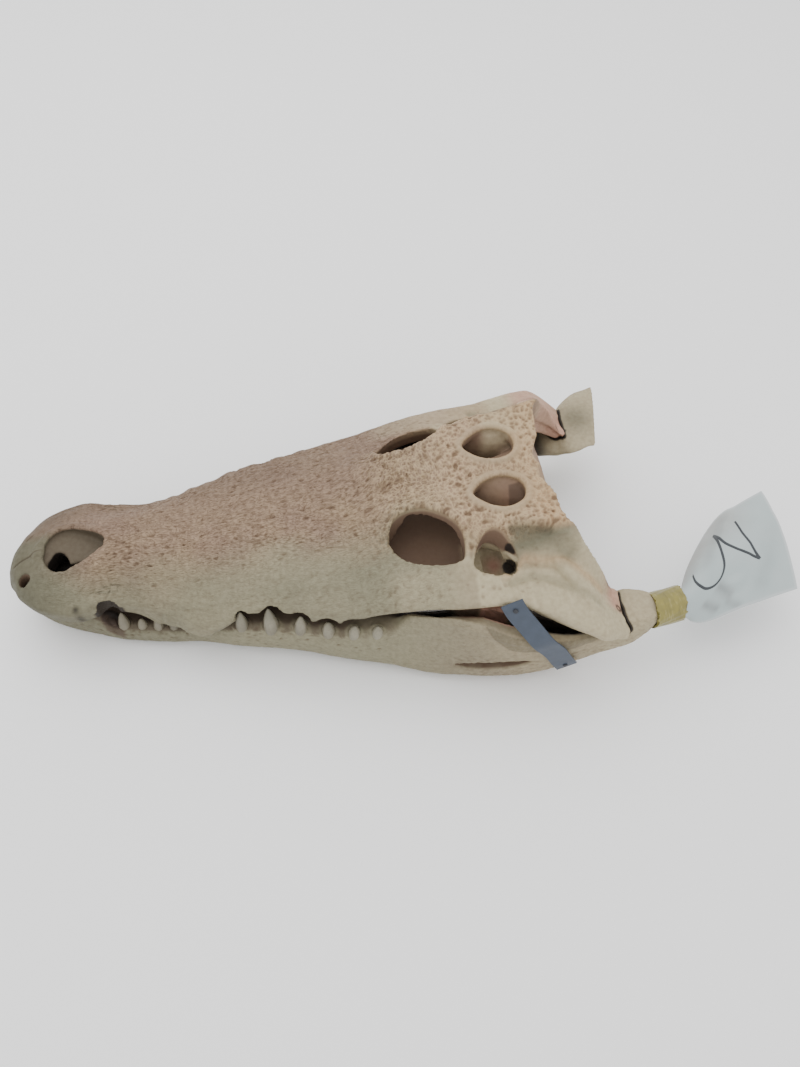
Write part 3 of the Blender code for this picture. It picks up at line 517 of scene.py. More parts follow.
def braincaseForms():
    corners = ((-1, -1), (1, -1), (1, 1), (-1, 1))
    plate = [[(x + kx * hx, ky * hy, z) for kx, ky in corners] for z, x, hx, hy in inside["basalPlate"]]
    forms = [limb("brain", inside["brain"]), ball("condyle", *inside["condyle"]),
             rolledSkin("basalPlate", plate)]
    for side in (1, -1):
        for name, sides in (("quadrate", 20), ("spur", 16), ("wall", 20)):
            forms.append(limb(name, onSide(inside[name], side), sides))
    return forms


def roofTable():                 # height of the closed roof over a plan grid, for the masks
    grain = roof["grain"]
    xs = np.arange(0, roof["end"] + grain, grain)
    ys = np.arange(0, roof["widest"], grain)
    table = []
    for x in xs:
        line = smoothLine(upperHalf(x)[:6], 5)
        table.append(np.interp(ys, [p.x for p in line], [p.y for p in line]))
    return xs, ys, np.array(table)


roofXs, roofYs, roofZs = roofTable()


def depthBelowRoof(p):
    start, full = roof["endBlend"]
    shift = np.clip((p[:, 0] - start) / (full - start), 0, 1) * railArray(roof["endShape"], abs(p[:, 1]))
    i = np.clip((p[:, 0] - shift) / roof["grain"], 0, len(roofXs) - 1.001)
    j = np.clip(abs(p[:, 1]) / roof["grain"], 0, len(roofYs) - 1.001)
    a, b = i.astype(int), j.astype(int)
    s, t = i - a, j - b
    top = (roofZs[a, b] * (1 - s) * (1 - t) + roofZs[a + 1, b] * s * (1 - t)
           + roofZs[a, b + 1] * (1 - s) * t + roofZs[a + 1, b + 1] * s * t)
    return top - p[:, 2]


def skullMasks(p, n):            # where each kind of surface lies on the upper skull
    x, y, z = p.T
    a = abs(y)
    sideY = railArray(roof["sideY"], x)
    depth = depthBelowRoof(p)
    outer = np.maximum(soft(depth, 3.5, 1.5), soft(a, sideY - 9, sideY - 5)) * soft(n[:, 2], -0.5, -0.1)
    # inner marks surfaces deep under the roof; the tints lay painted shade there
    inner = soft(depth, 4, 8) * soft(a, sideY - 6, sideY - 12) * soft(x, 280, 288) * soft(x, 412, 404)
    nasal = soft(depth, 1.4, 2.8) * soft(x, 24, 30) * soft(x, 84, 78) * soft(a, 24, 20)
    table = soft(x, 318, 345) * soft(a, 62, 56) * soft(depth, 4, 2) * soft(x, 418, 414)
    return {"outer": outer, "inner": inner, "nasal": nasal, "table": table, "depth": depth}


def acrossLine(p):               # distance across the snout along its surface
    x, y, z = p.T
    crest = railArray(roof["crestZ"], x)
    width = 40 + 0.16 * np.minimum(x, 300)
    return np.sign(y) * (abs(y) + 0.8 * np.maximum(crest - z, 0)) * 66 / width


def openOutlines(name):          # one opening's outline on the right and on the left
    ring = smoothLine(openings[name], 4, closed=True)
    return [[(p.x, p.y) for p in ring], [(p.x, -p.y) for p in ring]]


seams = {
    "noseBack": [(75, 90), (79, 42), (86, 24), (101, 9), (103, 0)],
    "face": faceFront,
    "roofSplit": 346,
    "cheekSplit": 386,
    "cheekSide": 60.5,
}
carving = {                      # mm
    "wave": 0.55,
    "grooves": 0.42,
    "snoutPits": 0.62,
    "bigPits": 0.95,
    "tablePits": 1.05,
    "cheekPits": 0.45,
    "cheekRidge": [(368, 76), (383, 68), (397, 71), (411, 74), (425, 82), (439, 88)],
    "cheekGroove": [(372, 82), (388, 78), (404, 84), (420, 93), (436, 100)],
    "earDish": [(373, 56), (385, 58.5), (398, 61.5), (408, 66), (414, 70)],
    "noseGroove": [(74, 3), (81, 0.5), (89, -3), (97, -5)],
    "tipMark": [(15.5, 15), (19.5, 19)],
    "earLine": [(371, 54), (385, 57), (399, 60)],
    "rims": [("tableHole", 1.6, 2.2), ("orbit", 2.0, 3.0), ("nostril", 1.2, 2.6), ("cheekHole", 0.7, 2.2)],
    "upperTeeth": [(110, 7, 0.7), (122, 8, 1.0), (136, 9, 1.5), (152, 9, 1.0), (168, 8, 0.8),
                   (189, 8, 0.9), (210, 9, 1.1), (230, 9, 1.3), (249, 8, 1.1), (267, 8, 0.9)],
}


def along(points, x, y, width):  # 1 on a line drawn in plan, fading over its width
    return hump(lineDistance(x, y, points, closed=False), 0, width)


def skullRelief(p, n):           # detail in mm, how hollow each place is, and the seam lines
    x, y, z = p.T
    a = abs(y)
    mask = skullMasks(p, n)
    outer, table, depth = mask["outer"], mask["table"], mask["depth"]
    sideY = railArray(roof["sideY"], x)
    snout = outer * soft(x, 330, 290) * (1 - table)
    smooth = soft(x, 386, 400) * soft(a, 60, 70)           # the struts to the jaw joints are smooth
    high = 0.35 + 0.65 * soft(y, -46, -22)                 # the carving fades towards the near tooth row
    lift = carving["wave"] * (cloud(p, 26, 11) + 0.5 * cloud(p, 9, 12) * outer)
    v = acrossLine(p) + 1.9 * cloud(p, 13, 13) + 0.6 * cloud(p, 4.5, 16)
    u = x + 2.5 * cloud(p, 16, 14)
    worms = soft(abs(cloud(np.stack([u / 5.5, v / 2.0, 0 * x], 1), 1, 15)), 0.20, 0.03)
    worms *= snout * high * soft(x, 20, 80) * (0.6 + 0.4 * cloud(p, 18, 17))
    rows = pits(u, v, (4.8, 2.7), (1.55, 0.72), 0.66, 21) * snout * high * soft(x, 30, 90)
    rows *= 0.62 + 0.38 * cloud(p, 24, 22)
    big = pits(u, v, (13, 8), (1.7, 1.1), 0.42, 31) * snout * soft(x, 88, 96) * high
    beside = hump(x, 92, 16) * hump(y, -18, 9)             # a cluster of pits beside the nostril
    big = np.maximum(big, pits(u, v, (5.2, 4.2), (1.5, 1.0), 0.8, 35) * snout * beside)
    rim = np.zeros(len(x))
    for outline in openOutlines("tableHole"):
        rim = np.maximum(rim, soft(lineDistance(x, y, outline), 5.0, 3.5))
    netted = np.maximum(table, outer * soft(x, 255, 300) * soft(a, 52, 44)) * (1 - rim)
    q = (x + 1.6 * cloud(p, 6, 41), y + 1.6 * cloud(p, 6, 42))
    net = pits(*q, (3.9, 3.9), (1.35, 1.35), 0.92, 43) * netted * (0.7 + 0.3 * cloud(p, 16, 46))
    deep = pits(*q, (10.5, 10.5), (1.9, 1.6), 0.5, 47) * netted
    cheeks = pits(x, y - z, (6.0, 4.6), (1.3, 1.0), 0.42, 51) * outer * soft(x, 250, 290)
    cheeks = cheeks * (1 - smooth) * (1 - table)
    hollows = np.clip(0.5 * worms + 0.85 * rows + big + 0.8 * net + deep + 0.6 * cheeks, 0, 1)
    lift -= (carving["grooves"] * worms + carving["snoutPits"] * rows + carving["bigPits"] * (big + deep)
             + carving["tablePits"] * net + carving["cheekPits"] * cheeks)
    for name, height, width in carving["rims"]:
        for outline in openOutlines(name):
            raised = height * hump(lineDistance(x, y, outline), 1.6, width) * soft(depth, 6, 2) * outer
            lift += raised * soft(a, 58, 48) if name == "orbit" else raised
    for outline in openOutlines("tableHole"):
        spokes = np.sin(np.arctan2(a - 20, x - 372) * 30 + 1.5 * cloud(p, 8, 48))
        lift += 0.3 * spokes * hump(lineDistance(x, y, outline), 8, 5) * table
    dish = along(carving["earDish"], x, a, 5.0) * soft(depth, 9, 3) * soft(x, 368, 378)
    lift -= 1.6 * dish * outer
    ridge = along(carving["cheekRidge"], x, a, 2.6) * outer * soft(x, 440, 428)
    lift += 1.8 * ridge - 1.5 * along(carving["cheekGroove"], x, a, 2.6) * outer
    middle = hump(y + 0.6 * cloud(p, 7, 61), 0, 0.7) * outer * soft(x, 84, 88) * soft(x, 262, 220)
    tipSeam = hump(y - 0.36 * (x - 25) + 0.3 * cloud(p, 5, 62), 0, 0.75) * outer
    tipSeam = tipSeam * soft(x, 31, 27) * soft(x, 6, 9)
    nasal = hump(a + 1.2 * cloud(p, 6, 63) - (8 + 9 * soft(x, 100, 190) - 11 * soft(x, 225, 262)), 0, 0.7)
    nasal = nasal * outer * soft(x, 100, 108) * soft(x, 262, 250)
    back = lineDistance(x, a, seams["noseBack"], closed=False)
    nose = hump(back + 1.0 * cloud(p, 5, 64), 0, 0.7) * outer
    tail = (along(carving["noseGroove"], x, y, 1.0) + along(carving["tipMark"], x, y, 0.8)) * outer
    lines = np.clip(0.25 * middle + tipSeam + 0.25 * nasal + 0.3 * nose + 0.7 * tail, 0, 1)
    lift -= 0.7 * lines
    flank = outer * soft(z, 80, 66) * soft(x, 95, 110)
    for at, reach, height in carving["upperTeeth"]:
        lift += height * hump(x, at, reach * 0.55) * flank * soft(a, sideY - 22, sideY - 6)
    return lift, hollows, lines


def sproutDetail(piece, relief, limit=None):     # moves the skin out and in by the relief
    p, n = placesOf(piece), normalsOf(piece)
    lift = relief(p, n)[0]
    moved = p + n * lift[:, None]
    if limit is not None:
        moved[:, 2] = np.maximum(moved[:, 2], limit)
    setPlaces(piece, moved)


def makeUpperSkull():
    skull = upperForm()
    cut(skull, skullTools())
    skull = joined([skull] + braincaseForms())
    melted(skull, roof["voxel"], roof["rounds"])
    centre, normal = faceMiddles(skull)
    mask = skullMasks(centre, normal)
    refined(skull, (mask["outer"] > 0.5) & (normal[:, 2] > -0.1))
    sproutDetail(skull, skullRelief)
    print("upper skull", len(skull.data.polygons), "faces")
    return skull


# the upright cutters that part the bones, drawn in plan

def regionTool(corners, low=-5):
    return rolledSkin("region", [[(x, y, z) for x, y in corners] for z in (low, 200)])


def strip(start, end, near, far):        # the corners of a block in plan
    return [(start, near), (end, near), (end, far), (start, far)]


def partedPiece(source, name, tool):
    piece = source.copy()
    piece.data = source.data.copy()
    piece.name = name
    bpy.context.scene.collection.objects.link(piece)
    cut(piece, [tool], "INTERSECT")
    return piece


def partSkull(skull):
    nose = seams["noseBack"] + [(x, -y) for x, y in reversed(seams["noseBack"][:-1])]
    face, split, rear, side = seams["face"], seams["roofSplit"], seams["cheekSplit"], seams["cheekSide"]
    regions = {
        "premaxilla": [*nose, (-20, -90), (-20, 90)],
        "snout": [*reversed(nose), (face, 100), (face, -100)],
        "forehead": strip(face, split, -side, side),
        "skull_table": strip(split, 600, -side, side),
    }
    for name, sign in (("left", -1), ("right", 1)):
        regions["cheek_" + name] = strip(face, rear, sign * side, sign * 200)
        regions["jaw_joint_" + name] = strip(rear, 600, sign * side, sign * 200)
    made = {}
    for node, corners in regions.items():
        made[node] = partedPiece(skull, node + "Bone", regionTool(corners))
        thinned(made[node])
    bpy.data.objects.remove(skull)
    return made


# the lower jaw, one branch at a time, and the teeth that stand in it

jaw = {
    "outY": [(3, 6), (8, 13), (16, 20), (30, 28), (50, 36), (75, 45), (108, 51), (139, 55), (171, 64),
             (216, 73), (251, 83), (293, 94), (330, 105), (362, 111), (385, 113), (409, 112), (435, 109),
             (455, 108), (466, 109), (480, 105), (488, 100.5), (496, 98)],
    "inY": [(3, 0), (64, 0), (76, 14), (100, 29), (130, 35), (160, 39), (190, 42), (220, 47), (250, 57),
            (280, 66), (310, 68), (340, 71), (370, 74.5), (400, 75.5), (430, 78), (450, 74), (466, 72),
            (480, 76), (488, 80), (496, 82)],
    "flare": [(444, 0), (458, 8), (470, 22), (482, 34), (496, 44)],
    "lowZ": [(3, 22), (8, 14), (16, 7), (30, 1), (45, -1.2), (62, 0), (90, 3), (130, 5), (170, 6),
             (210, 5), (250, 3), (290, 1), (325, -1.2), (370, -1.2), (400, 2), (430, 9), (450, 17),
             (470, 31), (487, 48), (496, 51)],
    "topZ": [(3, 30), (8, 36), (16, 39), (40, 41), (60, 39), (72, 32), (84, 24), (120, 23), (140, 26),
             (160, 35), (176, 39), (200, 41), (240, 44), (262, 48), (280, 54), (300, 56), (320, 58),
             (350, 69), (370, 69), (390, 62), (415, 56), (436, 56), (456, 59), (464, 64), (472, 66),
             (487, 67), (496, 67)],
    "edgeLineY": [(280, 79), (290, 83), (300, 85), (310, 88), (320, 91), (330, 95), (340, 99.5),
                  (350, 104), (360, 107), (370, 109), (380, 110.5), (400, 111), (410, 110.5),
                  (430, 107.5), (450, 106)],
    "edgeLineZ": [(280, 56), (290, 62), (300, 67), (310, 71), (320, 74), (335, 76), (350, 75), (360, 71),
                  (370, 66.5), (380, 63), (400, 57), (420, 51), (450, 47)],
    "rimY": [(280, 74), (300, 78), (310, 81.5), (320, 86), (330, 88.5), (340, 91), (350, 92.3),
             (360, 94.5), (370, 97.3), (380, 99.3), (400, 101.5), (420, 103), (450, 101)],
    "rimZ": [(280, 57), (300, 67.5), (310, 69.5), (320, 73), (335, 76.5), (350, 76.5), (360, 73),
             (370, 69), (380, 66), (400, 60), (420, 55), (450, 52)],
    "slit": [(332, 27, 28), (342, 24.5, 31), (356, 24.5, 35.5), (372, 27, 38.5), (384, 31, 38.5),
             (391, 35, 36.5)],
    "trough": [(300, 56, 1), (312, 40, 2.5), (330, 32, 4.5), (355, 26, 5), (385, 24, 6.5), (410, 30, 6),
               (430, 44, 3)],
    "ledge": [(325, 101), (338, 94), (351, 80), (362, 66), (372, 57), (395, 51), (423, 46), (442, 51)],
    "shelf": (278, 298, 432, 456),
    "lean": (405, 445),
    "turn": 0.23,
    "turnY": 118,
    "shift": -4.0,
    "start": 3,
    "end": 496,
    "split": 300,
    "splitGap": 0.02,
    "voxel": 1.2,
    "rounds": 3,
    "gap": 0.7,
}
lowerTeeth = {
    # x, height, base width
    "rows": [(83, 15, 9.5), (97, 10, 8), (109, 14, 8.5), (121, 9, 8), (134, 7, 7), (175, 16, 10.5),
             (197, 21, 12), (219, 14, 10.5), (240, 11, 10), (259, 9, 9.5), (276, 8, 9)],
    "root": 6.0,
    "inset": 6.0,
    "emptySocket": 76,
    "sides": 28,
    "flutes": 9,
    "fluteDepth": 0.022,
}


def jawRing(x, side):            # a cross section of one branch; the right one flares out at its rear
    flare = railAt(jaw["flare"], x) if side > 0 else 0.0
    out, into = railAt(jaw["outY"], x) + flare, railAt(jaw["inY"], x) - flare / 4
    low, top = railAt(jaw["lowZ"], x), railAt(jaw["topZ"], x)
    tall, wide = top - low, out - into
    lean = share01((x - jaw["lean"][0]) / (jaw["lean"][1] - jaw["lean"][0]))
    starts, full, fades, ends = jaw["shelf"]
    shelf = min(share01((x - starts) / (full - starts)), share01((ends - x) / (ends - fades)))
    edge = Vector((railAt(jaw["edgeLineY"], x), railAt(jaw["edgeLineZ"], x)))
    rim = Vector((railAt(jaw["rimY"], x), railAt(jaw["rimZ"], x)))
    edge = Vector((out - wide * 0.02, low + tall * 0.76)).lerp(edge, shelf)
    rim = Vector((out - wide * 0.24, top)).lerp(rim, shelf)
    half = [(into + wide * (0.45 + 0.4 * lean), low), (out - wide * 0.14, low + tall * 0.07),
            (out, low + tall * 0.34), edge, rim, (into + wide * 0.16, top), (into, low + tall * 0.82),
            (into + wide * 0.6 * lean, low + tall * 0.3),
            (into + wide * (0.12 + 0.65 * lean), low + tall * 0.06)]
    if into < 1:
        half = [(y if i == 0 else max(y, -1.0), z) for i, (y, z) in enumerate(half)]
    turned = share01((x - jaw["flare"][0][0]) / (jaw["end"] - jaw["flare"][0][0])) if side > 0 else 0.0
    return [(x + jaw["turn"] * turned * (p.x - jaw["turnY"]), side * p.x + jaw["shift"], p.y)
            for p in smoothLine(half, 5, closed=True)]


def jawTools(side):
    slit = []
    for x, low, high in smoothLine(jaw["slit"], 5):
        corners = ((99, low + 1.2), (104, low), (130, low - 0.6),
                   (130, high + 0.6), (104, high), (99, high - 1.2))
        slit.append([(x, side * y + jaw["shift"], z) for y, z in corners])
    trough = []
    for x, floor, half in smoothLine(jaw["trough"], 5):
        middle = railAt(jaw["rimY"], x) - half - 2
        trough.append([(x, side * (middle + dy) + jaw["shift"], z)
                       for dy, z in ((-half, floor), (half, floor), (half, 90), (-half, 90))])
    return [rolledSkin("slit", slit), rolledSkin("trough", trough)]


def jawRelief(side):
    def relief(p, n):
        x, y, z = p.T
        out = railArray(jaw["outY"], x)
        beside = side * (y - jaw["shift"])                 # out from the middle of the jaw
        facing = soft(side * n[:, 1], 0.05, 0.45)
        low, top = railArray(jaw["lowZ"], x), railArray(jaw["topZ"], x)
        up = (z - low) / (top - low)
        lift = 0.45 * cloud(p, 24, 111) + 0.22 * cloud(p, 8, 112)
        u, v = x + 2 * cloud(p, 15, 113), z + 1.5 * cloud(p, 12, 114)
        worms = soft(abs(cloud(np.stack([u / 7, v / 2.2, 0 * x], 1), 1, 115)), 0.16, 0.02) * facing
        worms *= 0.55 + 0.45 * cloud(p, 20, 116)
        front = pits(u, v, (6.0, 4.0), (1.5, 0.8), 0.55, 121) * facing * soft(x, 250, 200)
        nerve = pits(u, v - top, (9.0, 20), (1.3, 1.0), 0.7, 131) * facing
        nerve = nerve * soft(up, 0.55, 0.7) * soft(x, 300, 280)
        rear = pits(u, v, (5.0, 4.2), (1.5, 1.2), 0.8, 141) * facing
        rear = rear * soft(x, 318, 345) * soft(up, 0.75, 0.55)
        hollows = np.clip(0.35 * worms + 0.7 * front + nerve + 0.55 * rear, 0, 1)
        lift -= 0.28 * worms + 0.45 * front + 0.8 * nerve + 0.4 * rear
        shelf = soft(x, 300, 330) * soft(x, 450, 420)
        edgeZ = railArray(jaw["edgeLineZ"], x)
        lift += 0.9 * hump(z - edgeZ, 0, 2.4) * shelf * facing
        seamZ = low + (top - low) * (0.40 + 0.20 * soft(x, 300, 420)) + 2.0 * cloud(p, 13, 151)
        seam = 0.45 * hump(z - seamZ, 0, 0.7) * facing * soft(x, 306, 318) * soft(x, 470, 440)
        lift -= 0.5 * seam
        crown = soft(n[:, 2], 0.3, 0.7) * soft(x, 60, 70) * soft(x, 296, 286)
        for at, height, width in lowerTeeth["rows"]:
            lift += 0.9 * hump(x, at, width * 0.45) * soft(up, 0.4, 0.9) * soft(beside, out - 14, out - 4)
            ring = np.hypot(x - at, beside - out + lowerTeeth["inset"])
            lift += 0.8 * hump(ring, width * 0.62, 1.5) * crown
        socket = np.hypot(x - lowerTeeth["emptySocket"], beside - out + lowerTeeth["inset"])
        lift -= 1.6 * soft(socket, 6.5, 3.0) * soft(n[:, 2], 0.2, 0.5)
        return lift, hollows, seam
    return relief


def clearOf(piece, others, distance):      # cuts a piece clear of its neighbours by a thin gap
    low, high = placesOf(piece).min(0) - 2, placesOf(piece).max(0) + 2
    tools = []
    for other in others:
        places = placesOf(other)
        if (places.min(0) > high).any() or (places.max(0) < low).any():
            continue
        tool = other.copy()
        tool.data = other.data.copy()
        bpy.context.scene.collection.objects.link(tool)
        applied(tool, "DISPLACE", strength=distance * mm, mid_level=0.0)
        tools.append(tool)
    return cut(piece, tools) if tools else piece


def makeJaw(side, upper):
    word = "right" if side > 0 else "left"
    stations = [3, 4, 5.5, 8, 12] + list(np.arange(16, jaw["end"], 3.5)) + [jaw["end"]]
    branch = rolledSkin("jawBranch", [jawRing(x, side) for x in stations])
    cut(branch, jawTools(side))
    melted(branch, jaw["voxel"], jaw["rounds"])
    centre, normal = faceMiddles(branch)
    refined(branch, (side * normal[:, 1] > 0.0) | ((normal[:, 2] > 0.2) & (centre[:, 0] > 60)))
    sproutDetail(branch, jawRelief(side), limit=0.0)
    made = {}
    inner = jaw["shift"] + side * seamGap / 2
    for node, start, end in (("dentary_" + word, -20, jaw["split"] - jaw["splitGap"]),
                             ("jaw_rear_" + word, jaw["split"] + jaw["splitGap"], 600)):
        region = regionTool(strip(start, end, inner, side * 300), low=0)
        made[node] = partedPiece(branch, node + "Bone", region)
        clearOf(made[node], upper, jaw["gap"])
        thinned(made[node])
    bpy.data.objects.remove(branch)
    return made


def makeTeeth(side):
    made = []
    chance = np.random.default_rng(7 + side)
    for x, height, width in lowerTeeth["rows"]:
        y, top = railAt(jaw["outY"], x) - lowerTeeth["inset"], railAt(jaw["topZ"], x)
        leanX, turn = chance.uniform(-0.05, 0.05), chance.uniform(0, 6.28)
        rings = []
        shares = [-lowerTeeth["root"] / height, -0.1] + [k / 16 for k in range(16)] + [0.97, 0.99, 1.0]
        for share in shares:
            up = max(share, 0.0)
            blunt = 2.4 if height < 13 else 1.7
            size = max(1.0 - up**blunt, 0.0)**0.72 * 0.97 + 0.03 if up < 0.99 else 0.06
            size *= 0.93 if share < -0.2 else 1.0
            radius = width / 2 * size
            lean = (0.12 * up + 0.10 * up**2) * height
            ring = []
            for k in range(lowerTeeth["sides"]):
                angle = 2 * math.pi * k / lowerTeeth["sides"]
                flute = 1 + (lowerTeeth["fluteDepth"] * math.cos(lowerTeeth["flutes"] * angle + turn)
                             * math.sin(math.pi * min(1, up + 0.1)))
                ring.append((x + leanX * height * up + radius * flute * math.cos(angle),
                             side * (y - lean + 0.9 * radius * flute * math.sin(angle)) + jaw["shift"],
                             top - 2.5 + share * (height + 0.5)))
            rings.append(ring)
        made.append(rolledSkin("tooth", rings))
    teeth = joined(made)
    teeth.name = "lowerTeeth" + ("Right" if side > 0 else "Left")
    return teeth


# palate

palate = {
    "wings": [((362, -76, 59), 12, 5), ((363, -70, 60), 19, 4), ((368, -55, 66), 24, 3.4),
              ((373, -34, 74), 30, 3.2), ((374, -14, 79), 36, 4), ((374, 0, 80), 37, 5),
              ((374, 14, 79), 36, 4), ((373, 34, 74), 30, 3.2), ((368, 55, 66), 24, 3.4),
              ((363, 70, 60), 19, 4), ((362, 76, 59), 12, 5)],
    "bar": [((208, 0, 69), 13, 6), ((240, 0, 73), 16, 6), ((266, 0, 75), 30, 5), ((290, 0, 76), 58, 4.5),
            ((325, 0, 77), 70, 4.5), ((358, 0, 78), 62, 6)],
    "keel": [((376, 0, 84), 12, 7), ((399, 0, 80), 17, 11)],
    "strut": [((338, 84, 84), 9, 6), ((344, 76, 74), 7, 6), ((352, 66, 64), 9, 5)],
    "rearHoles": [(386, -37, 5.5), (382, -51, 5.0)],             # x, y, radius
    "passages": [((392, -26, 50), (373.4, -60.7, 112), 5.2), ((387, -41, 50), (370.9, -71.4, 106), 6.0)],
    "voxel": 1.3,
}


def palatePits(p):               # two pits in the left wing, seen through the cheek opening; the tints paint them near-black as painted shade
    deep = np.zeros(len(p))
    for x, y, radius in palate["rearHoles"]:
        deep = np.maximum(deep, soft(np.hypot(p[:, 0] - x, p[:, 1] - y), radius + 0.6, radius - 1.2))
    return deep


def cheekPassages(p):            # two ways down at the rear of the left cheek opening, not cut but painted near-black as painted shade
    deep = np.zeros(len(p))
    for foot, head, radius in palate["passages"]:
        line = np.array(head, float) - np.array(foot, float)
        away = p - np.array(foot, float)
        share = np.clip(away @ line / (line @ line), 0, 1)
        off = np.linalg.norm(away - share[:, None] * line, axis=1)
        deep = np.maximum(deep, soft(off, radius, radius - 1.4))
    return deep


def palateRelief(p, n):
    lift = 0.5 * cloud(p, 20, 211) + 0.2 * cloud(p, 6, 212) - 2.2 * palatePits(p) * soft(n[:, 2], 0.1, 0.5)
    return lift, np.zeros(len(p)), np.zeros(len(p))


def makePalate(others):
    forms = [limb(name, palate[name], sides) for name, sides in (("wings", 28), ("bar", 28), ("keel", 24))]
    forms += [limb("strut", onSide(palate["strut"], side)) for side in (1, -1)]
    forms[0].name = "palateBone"
    piece = melted(joined(forms), palate["voxel"], 3)
    sproutDetail(piece, palateRelief)
    return clearOf(piece, others, seamGap)


# strap on the left side, its pins, the tape and the paper label

strap = {
    "line": [(369, 97), (373.5, 90), (380.5, 82), (387.5, 74), (394.5, 66), (401, 58), (406.5, 50),
             (413, 38), (417.5, 30), (421.5, 22)],
    "width": 17.0,
    "thickness": 1.4,
    "lift": 0.8,
    "pinRadius": 1.9,
    "pinHeight": 1.2,
    "pins": [("strapPinTop", 6), ("strapPinBottom", -8)],        # how many steps in from each end
    "dome": [(0.0, 0.9), (0.15, 1.0), (0.5, 1.0), (0.75, 0.86), (0.92, 0.6), (1.0, 0.25)],
    "seenFrom": -200,            # the strap is pressed on from here, on bone that lies left of nearestBone
    "nearestBone": -80,
}
tape = {
    "rings": [((486, -94.5, 58), 14.5, 13.0), ((498, -92.3, 58), 14.5, 12.8),
              ((510, -90.2, 58), 14.5, 12.5)],
    "thickness": 1.0,
    "sides": 120,
    "ragged": 1.1,
}
label = {
    # crest, width, half its turn in radians, heading in degrees
    "rows": [(498, -92, 68.6, 61, 2.9, 10), (512, -89.8, 68.6, 61, 2.9, 11), (533, -74, 68, 88, 1.7, 14),
             (563, -54, 63, 100, 0.75, 15), (590, -45, 59, 97, 0.42, 10), (621, -35, 56, 100, 0.3, 6)],
    "thickness": 0.7,
    "columns": 70,
    "steps": 14,
    "flat": (120, 90),           # its rough length and width when flat
    "loose": (0.42, 0.2),        # where it leaves the tape, and over what share
    # start, end, rise, width; both places as shares of length and width
    "folds": [((0.45, 0.55), (0.70, 0.95), 2.2, 9), ((0.43, 0.25), (0.66, 0.22), 2.4, 7),
              ((0.55, 0.40), (0.95, 0.62), 1.2, 12), ((0.72, 0.05), (0.90, 0.45), 1.2, 10)],
    # creases: start, end, strength and width of the painted shade along each crease
    "creases": [((0.42, 0.22), (0.52, 0.10), 0.9, 3.0), ((0.52, 0.28), (0.60, 0.16), 1.0, 3.4),
                ((0.45, 0.60), (0.62, 0.90), 0.4, 6), ((0.60, 0.10), (0.66, 0.03), 0.6, 3),
                ((0.80, 0.15), (0.92, 0.55), 0.25, 7)],
    "pen": [[(0.715, 0.80), (0.74, 0.65), (0.775, 0.51), (0.815, 0.35)],
            [(0.815, 0.35), (0.755, 0.42), (0.66, 0.51), (0.57, 0.66), (0.535, 0.83)],
            [(0.535, 0.83), (0.54, 0.67), (0.555, 0.51), (0.555, 0.41), (0.525, 0.34), (0.465, 0.33),
             (0.38, 0.40), (0.31, 0.56), (0.335, 0.80)]],
    "penWidth": 2.1,
}


def strapPath(bones):            # the strap's middle line, pressed on the bones from the left
    trees = [BVHTree.FromObject(bone, bpy.context.evaluated_depsgraph_get()) for bone in bones]
    flat = smoothLine(strap["line"], 8)
    ahead = (flat[-1] - flat[0]).normalized()
    across = Vector((-ahead.y, ahead.x))
    reach = []
    for point in flat:
        found = []
        for share in (-1, -0.5, 0, 0.5, 1):
            place = point + across * strap["width"] / 2 * share
            for tree in trees:
                start = Vector((place.x, strap["seenFrom"], place.y)) * mm + tipPlace
                hit = tree.ray_cast(start, Vector((0, 1, 0)))[0]
                if hit and (hit.y - tipPlace.y) / mm < strap["nearestBone"]:
                    found.append((hit.y - tipPlace.y) / mm)
        reach.append(min(found) if found else None)
    reach = np.convolve(np.pad(pulledTight(reach), 3, mode="edge"), np.ones(7) / 7, "valid") - 0.4
    return [Vector((point.x, y, point.y)) for point, y in zip(flat, reach)], Vector((across.x, 0, across.y))


def pulledTight(reach):          # how far out a taut strap lies where it spans hollows and gaps
    held = [i for i, value in enumerate(reach) if value is not None]
    tight = []
    for i in range(len(reach)):
        spans = [(j, k) for j in held for k in held if j <= i <= k]
        tight.append(min(reach[j] + (reach[k] - reach[j]) * (i - j) / max(k - j, 1) for j, k in spans))
    return tight


def makeStrap(bones):
    path, across = strapPath(bones)
    rings, outs = [], []
    for i, point in enumerate(path):
        ahead = path[min(i + 2, len(path) - 1)] - path[max(i - 2, 0)]
        out = across.cross(ahead).normalized()
        out = -out if out.y > 0 else out
        outs.append(out)
        base, face = out * strap["lift"], out * (strap["lift"] + strap["thickness"])
        shares = [k / 8 for k in range(-8, 9)]
        rings.append([point + across * strap["width"] / 2 * s + base for s in shares]
                     + [point + across * strap["width"] / 2 * s + face for s in reversed(shares)])
    band = rolledSkin("jawStrap", rings)
    applied(band, "BEVEL", width=0.3 * mm, segments=2, limit_method="ANGLE", angle_limit=sharpEdge)
    pins = []
    for name, at in strap["pins"]:
        axis = outs[at]
        side = axis.orthogonal().normalized()
        other = axis.cross(side)
        foot = path[at] + axis * (strap["lift"] + strap["thickness"] + 0.05)
        corners = roundCorners(32)
        rings = []
        for height, size in strap["dome"]:
            rings.append([foot + axis * height * strap["pinHeight"]
                          + (side * c + other * s) * strap["pinRadius"] * size for c, s in corners])
        pins.append(rolledSkin(name, rings))
    return band, pins


